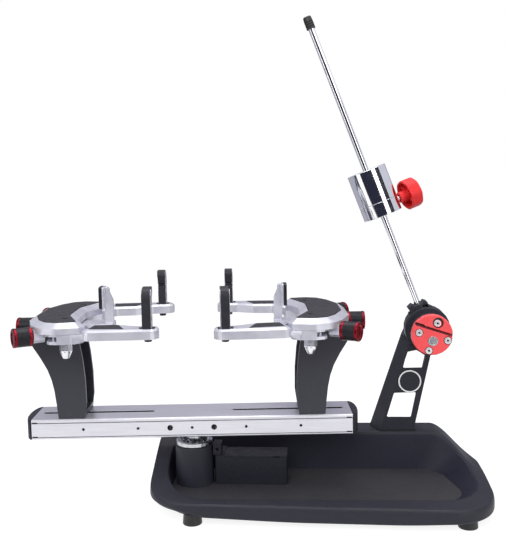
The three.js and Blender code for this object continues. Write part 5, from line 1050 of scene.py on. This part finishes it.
def add_badge():
    place = front_place(BADGE_CENTER[0], BADGE_CENTER[2], BADGE_CENTER[1])
    outer = BADGE_RADIUS - BADGE_LINE_INSET
    inner = outer - BADGE_LINE
    top = BADGE_PROUD + BADGE_INK
    add_piece("badge_ring", spun([
        (outer, BADGE_PROUD), (outer, top, BADGE_INK_EDGE), (inner, top, BADGE_INK_EDGE),
        (inner, BADGE_PROUD),
    ]), "tension_post", place, material=WHITE_PAINT)


# Painted shade of the beam: dark lines deep in its grooves, dark blocks at their open ends and dark sheets in
# its top slots

BEAM_TOP = 145
BEAM_HALF_LENGTH = 245
BEAM_HALF_WIDTH = 38
GROOVE_DROPS = (5, 27)
GROOVE_DEPTH = 1.8
# How far inside the beam's face the dark lines of painted shade sit
GROOVE_SHADE_INSET = 0.7
GROOVE_LINE_HEIGHT = 1.15
GROOVE_END_LENGTH = 8
GROOVE_END_HEIGHT = 2.2
GROOVE_END_PROUD = 0.05
GROOVE_MARGIN = 1
BEAM_SLOT_SPAN = (62, 233)
BEAM_SLOT_WALL = 4
BEAM_SLOT_CLEARANCE = 3.4
BEAM_SLOT_DEPTH = 5
BEAM_SLOT_DROP = 0.15


def add_beam_lines():
    beam = shifted((*TURNTABLE_AXIS, 0)) @ turned(TURNTABLE_TURN)
    for face in (-1, 1):
        for drop in GROOVE_DROPS:
            height = BEAM_TOP - drop
            inner = face * (BEAM_HALF_WIDTH - GROOVE_DEPTH)
            outer = face * (BEAM_HALF_WIDTH - GROOVE_SHADE_INSET)
            end = BEAM_HALF_LENGTH - GROOVE_MARGIN
            side = "front" if face < 0 else "back"
            # A dark line deep in the groove: painted shade
            add_piece(f"beam_{side}_line_{drop}", slab([
                (-end, inner), (end, inner), (end, outer), (-end, outer),
            ], height - GROOVE_LINE_HEIGHT / 2, height + GROOVE_LINE_HEIGHT / 2), "beam", beam, PAINTED_SHADE_BLACK)
            for way in (-1, 1):
                near = way * (end - GROOVE_END_LENGTH)
                proud = face * (BEAM_HALF_WIDTH + GROOVE_END_PROUD)
                label = "left" if way < 0 else "right"
                # A dark block at each open end of the groove: painted shade
                add_piece(f"beam_{side}_{label}_opening_{drop}", slab([
                    (near, inner), (way * end, inner), (way * end, proud), (near, proud),
                ], height - GROOVE_END_HEIGHT / 2, height + GROOVE_END_HEIGHT / 2), "beam", beam, PAINTED_SHADE_BLACK)
    # A dark sheet down in each top slot: painted shade
    for way in (-1, 1):
        for wall in (-1, 1):
            near, far = sorted(way * end for end in BEAM_SLOT_SPAN)
            inner, outer = sorted((wall * BEAM_SLOT_CLEARANCE, wall * BEAM_SLOT_WALL))
            label = ("left" if way < 0 else "right") + ("_front" if wall < 0 else "_back")
            add_piece(f"beam_slot_{label}", slab([
                (near, inner), (far, inner), (far, outer), (near, outer),
            ], BEAM_TOP - BEAM_SLOT_DEPTH, BEAM_TOP - BEAM_SLOT_DROP), "beam", beam, PAINTED_SHADE_BLACK)


# Tray, measured from the turntable's axis

BASE_CORNERS = [(-48, -106, 84), (452, -120, 66), (452, 121, 66), (-48, 112, 84)]
TRAY_CORNERS = [(-64, -106, 72), (452, -120, 66), (452, 121, 66), (-64, 112, 72)]
RIM_CORNERS = [(-60, -94, 72), (443, -98, 66), (443, 112, 66), (-60, 103, 72)]
LEDGE_CORNERS = [(-40, -88, 92), (437, -82, 56), (437, 74, 56), (-40, 70, 56)]
FLOOR_CORNERS = [(-34, -82, 100), (420, -76, 44), (386, 62, 44), (-34, 58, 44)]
TRAY_BOTTOM_RADIUS = 4
CAVITY_INSET = 34
LEAST_RADIUS_SHARE = 0.25
FLOOR_HEIGHT = 30
FLOOR_THICKNESS = 6
RIM_FRONT_HEIGHT = 35
RIM_SIDE_HEIGHT = 45
RIM_BACK_HEIGHT = 91
RIM_SIDE_SPAN = (-120, 20)
RIM_RISE_SPAN = (-70, 80)
RIM_FALL_SPAN = (380, 452)
TRAY_ARC_STEPS = 28
TRAY_EDGE_STEPS = 28
BOTTOM_SHARES = [(1, 0), (0.8, 0.02), (0.5, 0.13), (0.2, 0.4), (0.05, 0.7), (0, 1)]
FLANK_SHARES = [0.01, 0.022, 0.04, 0.06, 0.09, 0.13, 0.18, 0.26, 0.36, 0.5, 0.68, 0.86, 0.96, 1]
FLANK_POWER = 15
LEAN_SHARES = [(0.12, 0.03), (0.3, 0.08), (0.55, 0.165), (0.8, 0.28), (1, 0.5)]
LEAN_TOP = 0.5
SKIRT_DROP = 2
SKIRT_BOW = 4.5
SKIRT_FRONT_SPAN = (-112, -60)
SKIRT_LEFT_SPAN = (-20, 180)
SKIRT_RIGHT_SPAN = (300, 440)
LEDGE_SHARES = [(0.3, 0.996), (0.7, 0.99), (0.94, 0.985)]
WALL_SHARES = [(0, 0.972), (0.05, 0.945), (0.12, 0.91), (0.25, 0.845), (0.97, 0.02), (1, 0)]
WALL_EDGE_ROWS = 3
PEDESTAL_CORNERS = [(294.7, 73.9, 2), (352.1, 73.9, 2), (352.1, 106.6, 2), (280.7, 106.6, 2)]
PEDESTAL_ROOT = 70
PEDESTAL_TOP = 91.2
PEDESTAL_EDGE = 0.6
# Painted shadow: a dark band round the foot of the post, where it stands on the plinth
FOOT_SHADOW_SPREAD = 0.7
FOOT_SHADOW_DROP = 0.8
FOOT_SHADOW_RISE = 0.7


def inset_corners(corners, distance):
    """Corners that run counter-clockwise, with every edge moved inwards."""
    edges = []
    for at, (x, y, radius) in enumerate(corners):
        following = corners[(at + 1) % len(corners)]
        along = Vector((following[0] - x, following[1] - y)).normalized()
        edges.append((Vector((x - along.y * distance, y + along.x * distance)), along))
    moved = []
    for at, (x, y, radius) in enumerate(corners):
        (before, before_along), (after, after_along) = edges[at - 1], edges[at]
        bend = before_along.x * after_along.y - before_along.y * after_along.x
        gap = (after - before).x * after_along.y - (after - before).y * after_along.x
        spot = before + before_along * (gap / bend)
        moved.append((spot.x, spot.y, max(radius - distance, radius * LEAST_RADIUS_SHARE)))
    return moved


def between(corners, others, share):
    """The outline that lies a share of the way from one outline to another."""
    return [tuple(a + (b - a) * share for a, b in zip(one, other)) for one, other in zip(corners, others)]


def smooth_step(value, span):
    share = min(max((value - span[0]) / (span[1] - span[0]), 0), 1)
    return share * share * (3 - 2 * share)


def rim_height(x, y):
    """The rim is low in front, rises along the left side and falls again at the right end of the back."""
    low = RIM_FRONT_HEIGHT + (RIM_SIDE_HEIGHT - RIM_FRONT_HEIGHT) * smooth_step(y, RIM_SIDE_SPAN)
    rise = smooth_step(y, RIM_RISE_SPAN) * (1 - smooth_step(x, RIM_FALL_SPAN))
    return low + (RIM_BACK_HEIGHT - low) * rise


def skirt_drop(x, y):
    """The front's lower edge hangs a little lower, most in the middle."""
    bow = smooth_step(x, SKIRT_LEFT_SPAN) * (1 - smooth_step(x, SKIRT_RIGHT_SPAN))
    return (SKIRT_DROP + SKIRT_BOW * bow) * (1 - smooth_step(y, SKIRT_FRONT_SPAN))


def tray_ring(build, corners, base, share, skirt=False):
    """One ring of the tray, at a share of the height from a base up to the rim."""
    ring = []
    for x, y in rounded_outline(corners, TRAY_ARC_STEPS, TRAY_EDGE_STEPS):
        height = base + (rim_height(x, y) - base) * share
        if skirt:
            height -= skirt_drop(x, y) * (1 - share)
        ring.append(build.verts.new(((x + TURNTABLE_AXIS[0]) * MM, y * MM, height * MM)))
    return ring


def join_rings(build, rings):
    """Faces between each ring and the next."""
    for lower, upper in zip(rings, rings[1:]):
        for at in range(len(lower)):
            after = (at + 1) % len(lower)
            build.faces.new((lower[at], lower[after], upper[after], upper[at]))


def add_tray():
    build = bmesh.new()
    flank = FOOT_HEIGHT + TRAY_BOTTOM_RADIUS
    cavity = inset_corners(TRAY_CORNERS, CAVITY_INSET)
    rings = [
        tray_ring(build, cavity, FLOOR_HEIGHT - FLOOR_THICKNESS, 0),
        tray_ring(build, cavity, FOOT_HEIGHT, 0, True),
    ]
    for across, up in BOTTOM_SHARES:
        corners = inset_corners(BASE_CORNERS, TRAY_BOTTOM_RADIUS * across)
        rings.append(tray_ring(build, corners, FOOT_HEIGHT + TRAY_BOTTOM_RADIUS * up, 0, True))
    for share, height in LEAN_SHARES:
        rings.append(tray_ring(build, between(BASE_CORNERS, TRAY_CORNERS, share), flank, height, True))
    for share in FLANK_SHARES:
        corners = between(TRAY_CORNERS, RIM_CORNERS, share)
        height = 1 - (1 - LEAN_TOP) * (1 - share) ** FLANK_POWER
        rings.append(tray_ring(build, corners, flank, height, True))
    for share, height in LEDGE_SHARES:
        rings.append(tray_ring(build, between(RIM_CORNERS, LEDGE_CORNERS, share), FLOOR_HEIGHT, height))
    for share, height in WALL_SHARES[:WALL_EDGE_ROWS]:
        rings.append(tray_ring(build, between(LEDGE_CORNERS, FLOOR_CORNERS, share), FLOOR_HEIGHT, height))
    join_rings(build, rings)
    build.faces.new(rings[0][::-1])
    add_piece("tray_form", finished_mesh(build), "base_tray", stands_for=["base_tray"])
    # The inner walls, in a darker copy of the coat: painted shade
    wall = bmesh.new()
    join_rings(wall, [
        tray_ring(wall, between(LEDGE_CORNERS, FLOOR_CORNERS, share), FLOOR_HEIGHT, height)
        for share, height in WALL_SHARES[WALL_EDGE_ROWS - 1:]
    ])
    add_piece("tray_wall", finished_mesh(wall), "base_tray", material=TRAY_WALL_SHADED)
    # The floor, with its own coarser grain and a lighter tone of painted light
    floor = bmesh.new()
    floor.faces.new(tray_ring(floor, FLOOR_CORNERS, FLOOR_HEIGHT, 0))
    add_piece("tray_floor", finished_mesh(floor), "base_tray", material=TRAY_FLOOR_GRAIN_AND_LIGHT)
    outline = [(x + TURNTABLE_AXIS[0], y) for x, y in rounded_outline(PEDESTAL_CORNERS, FILLET_STEPS)]
    add_piece("tray_plinth", slab(outline, PEDESTAL_ROOT, PEDESTAL_TOP), "base_tray", edge=PEDESTAL_EDGE)
    # A dark band just wider than the plinth's top: painted shadow under the post's foot
    wider = inset_corners(PEDESTAL_CORNERS, -FOOT_SHADOW_SPREAD)
    outline = [(x + TURNTABLE_AXIS[0], y) for x, y in rounded_outline(wider, FILLET_STEPS)]
    foot_shadow = slab(outline, PEDESTAL_TOP - FOOT_SHADOW_DROP, PEDESTAL_TOP + FOOT_SHADOW_RISE)
    add_piece("post_foot_shadow", foot_shadow, "base_tray", material=PAINTED_SHADE_BLACK)


# Studio


def add_camera():
    forward = Vector((
        -math.sin(CAMERA_HEADING) * math.cos(CAMERA_PITCH),
        math.cos(CAMERA_HEADING) * math.cos(CAMERA_PITCH),
        -math.sin(CAMERA_PITCH),
    ))
    level = Vector((math.cos(CAMERA_HEADING), math.sin(CAMERA_HEADING), 0))
    upright = level.cross(forward)
    right = level * math.cos(CAMERA_ROLL) - upright * math.sin(CAMERA_ROLL)
    up = level * math.sin(CAMERA_ROLL) + upright * math.cos(CAMERA_ROLL)
    data = bpy.data.cameras.new("camera")
    data.sensor_fit = "HORIZONTAL"
    data.sensor_width = SENSOR_WIDTH
    data.lens = CAMERA_LENS
    camera = bpy.data.objects.new("camera", data)
    turn = Matrix((right, up, -forward)).transposed().to_4x4()
    camera.matrix_world = Matrix.Translation(CAMERA_PLACE) @ turn
    scene.collection.objects.link(camera)
    scene.camera = camera


def add_lamps():
    for name, place, (width, height), power in LAMPS:
        data = bpy.data.lights.new(name, "AREA")
        data.shape = "RECTANGLE"
        data.size = width
        data.size_y = height
        data.energy = power
        lamp = bpy.data.objects.new(name, data)
        lamp.location = place
        lamp.rotation_euler = (Vector(LAMP_TARGET) - Vector(place)).to_track_quat("-Z", "Y").to_euler()
        scene.collection.objects.link(lamp)


def seen_directly(tree):
    """One where the camera, a mirror or glass looks, and zero for the light that falls on surfaces."""
    path = tree.nodes.new("ShaderNodeLightPath")
    total = path.outputs["Is Camera Ray"]
    for name in ("Is Glossy Ray", "Is Transmission Ray"):
        add = tree.nodes.new("ShaderNodeMath")
        add.operation = "MAXIMUM"
        tree.links.new(total, add.inputs[0])
        tree.links.new(path.outputs[name], add.inputs[1])
        total = add.outputs[0]
    return total


def add_world():
    world = bpy.data.worlds.new("studio")
    scene.world = world
    world.use_nodes = True
    tree = world.node_tree
    background = tree.nodes["Background"]
    background.inputs["Color"].default_value = (1, 1, 1, 1)
    level = tree.nodes.new("ShaderNodeMapRange")
    level.inputs["To Min"].default_value = WORLD_LIGHT
    level.inputs["To Max"].default_value = 1.0
    tree.links.new(seen_directly(tree), level.inputs["Value"])
    tree.links.new(level.outputs["Result"], background.inputs["Strength"])


def add_panel(name, corners):
    """A flat that isn't part of the machine, and the nodes of its material."""
    mesh = bpy.data.meshes.new(name)
    mesh.from_pydata(corners, [], [tuple(range(len(corners)))])
    panel = bpy.data.objects.new(name, mesh)
    scene.collection.objects.link(panel)
    material = bpy.data.materials.new(name)
    material.use_nodes = True
    tree = material.node_tree
    tree.nodes.remove(tree.nodes["Principled BSDF"])
    mesh.materials.append(material)
    return panel, tree


def add_floor():
    """A floor that glows where it is seen and keeps the machine's shadow."""
    half = FLOOR_SIZE / 2
    tree = add_panel("floor", [(-half, -half, 0), (half, -half, 0), (half, half, 0), (-half, half, 0)])[1]
    shade = tree.nodes.new("ShaderNodeBsdfDiffuse")
    shade.inputs["Color"].default_value = (FLOOR_SHADE, FLOOR_SHADE, FLOOR_SHADE, 1)
    glow = tree.nodes.new("ShaderNodeEmission")
    level = tree.nodes.new("ShaderNodeMath")
    level.operation = "MULTIPLY"
    level.inputs[1].default_value = FLOOR_GLOW
    tree.links.new(seen_directly(tree), level.inputs[0])
    tree.links.new(level.outputs[0], glow.inputs["Strength"])
    both = tree.nodes.new("ShaderNodeAddShader")
    tree.links.new(shade.outputs[0], both.inputs[0])
    tree.links.new(glow.outputs[0], both.inputs[1])
    tree.links.new(both.outputs[0], tree.nodes["Material Output"].inputs["Surface"])


def add_cards():
    """Flats that shape the reflections in polished metal and light nothing."""
    for name, (x, y), (far_x, far_y), low, high, color in CARDS:
        card, tree = add_panel(name, [(x, y, low), (far_x, far_y, low), (far_x, far_y, high), (x, y, high)])
        glow = tree.nodes.new("ShaderNodeEmission")
        glow.inputs["Color"].default_value = srgb(color)
        tree.links.new(glow.outputs[0], tree.nodes["Material Output"].inputs["Surface"])
        card.visible_camera = False
        card.visible_diffuse = False
        card.visible_transmission = False
        card.visible_volume_scatter = False
        card.visible_shadow = False


dress_nodes()
add_tray()
soften_nodes()
add_bar()
add_weight_knob()
add_adjuster_knobs()
add_feet()
add_gripper_screws()
add_gripper_trim()
add_pivot_bolts()
add_support_plates()
add_clamp_block()
add_badge()
add_beam_lines()
add_camera()
add_lamps()
add_world()
add_floor()
add_cards()
scene.view_settings.view_transform = "Standard"
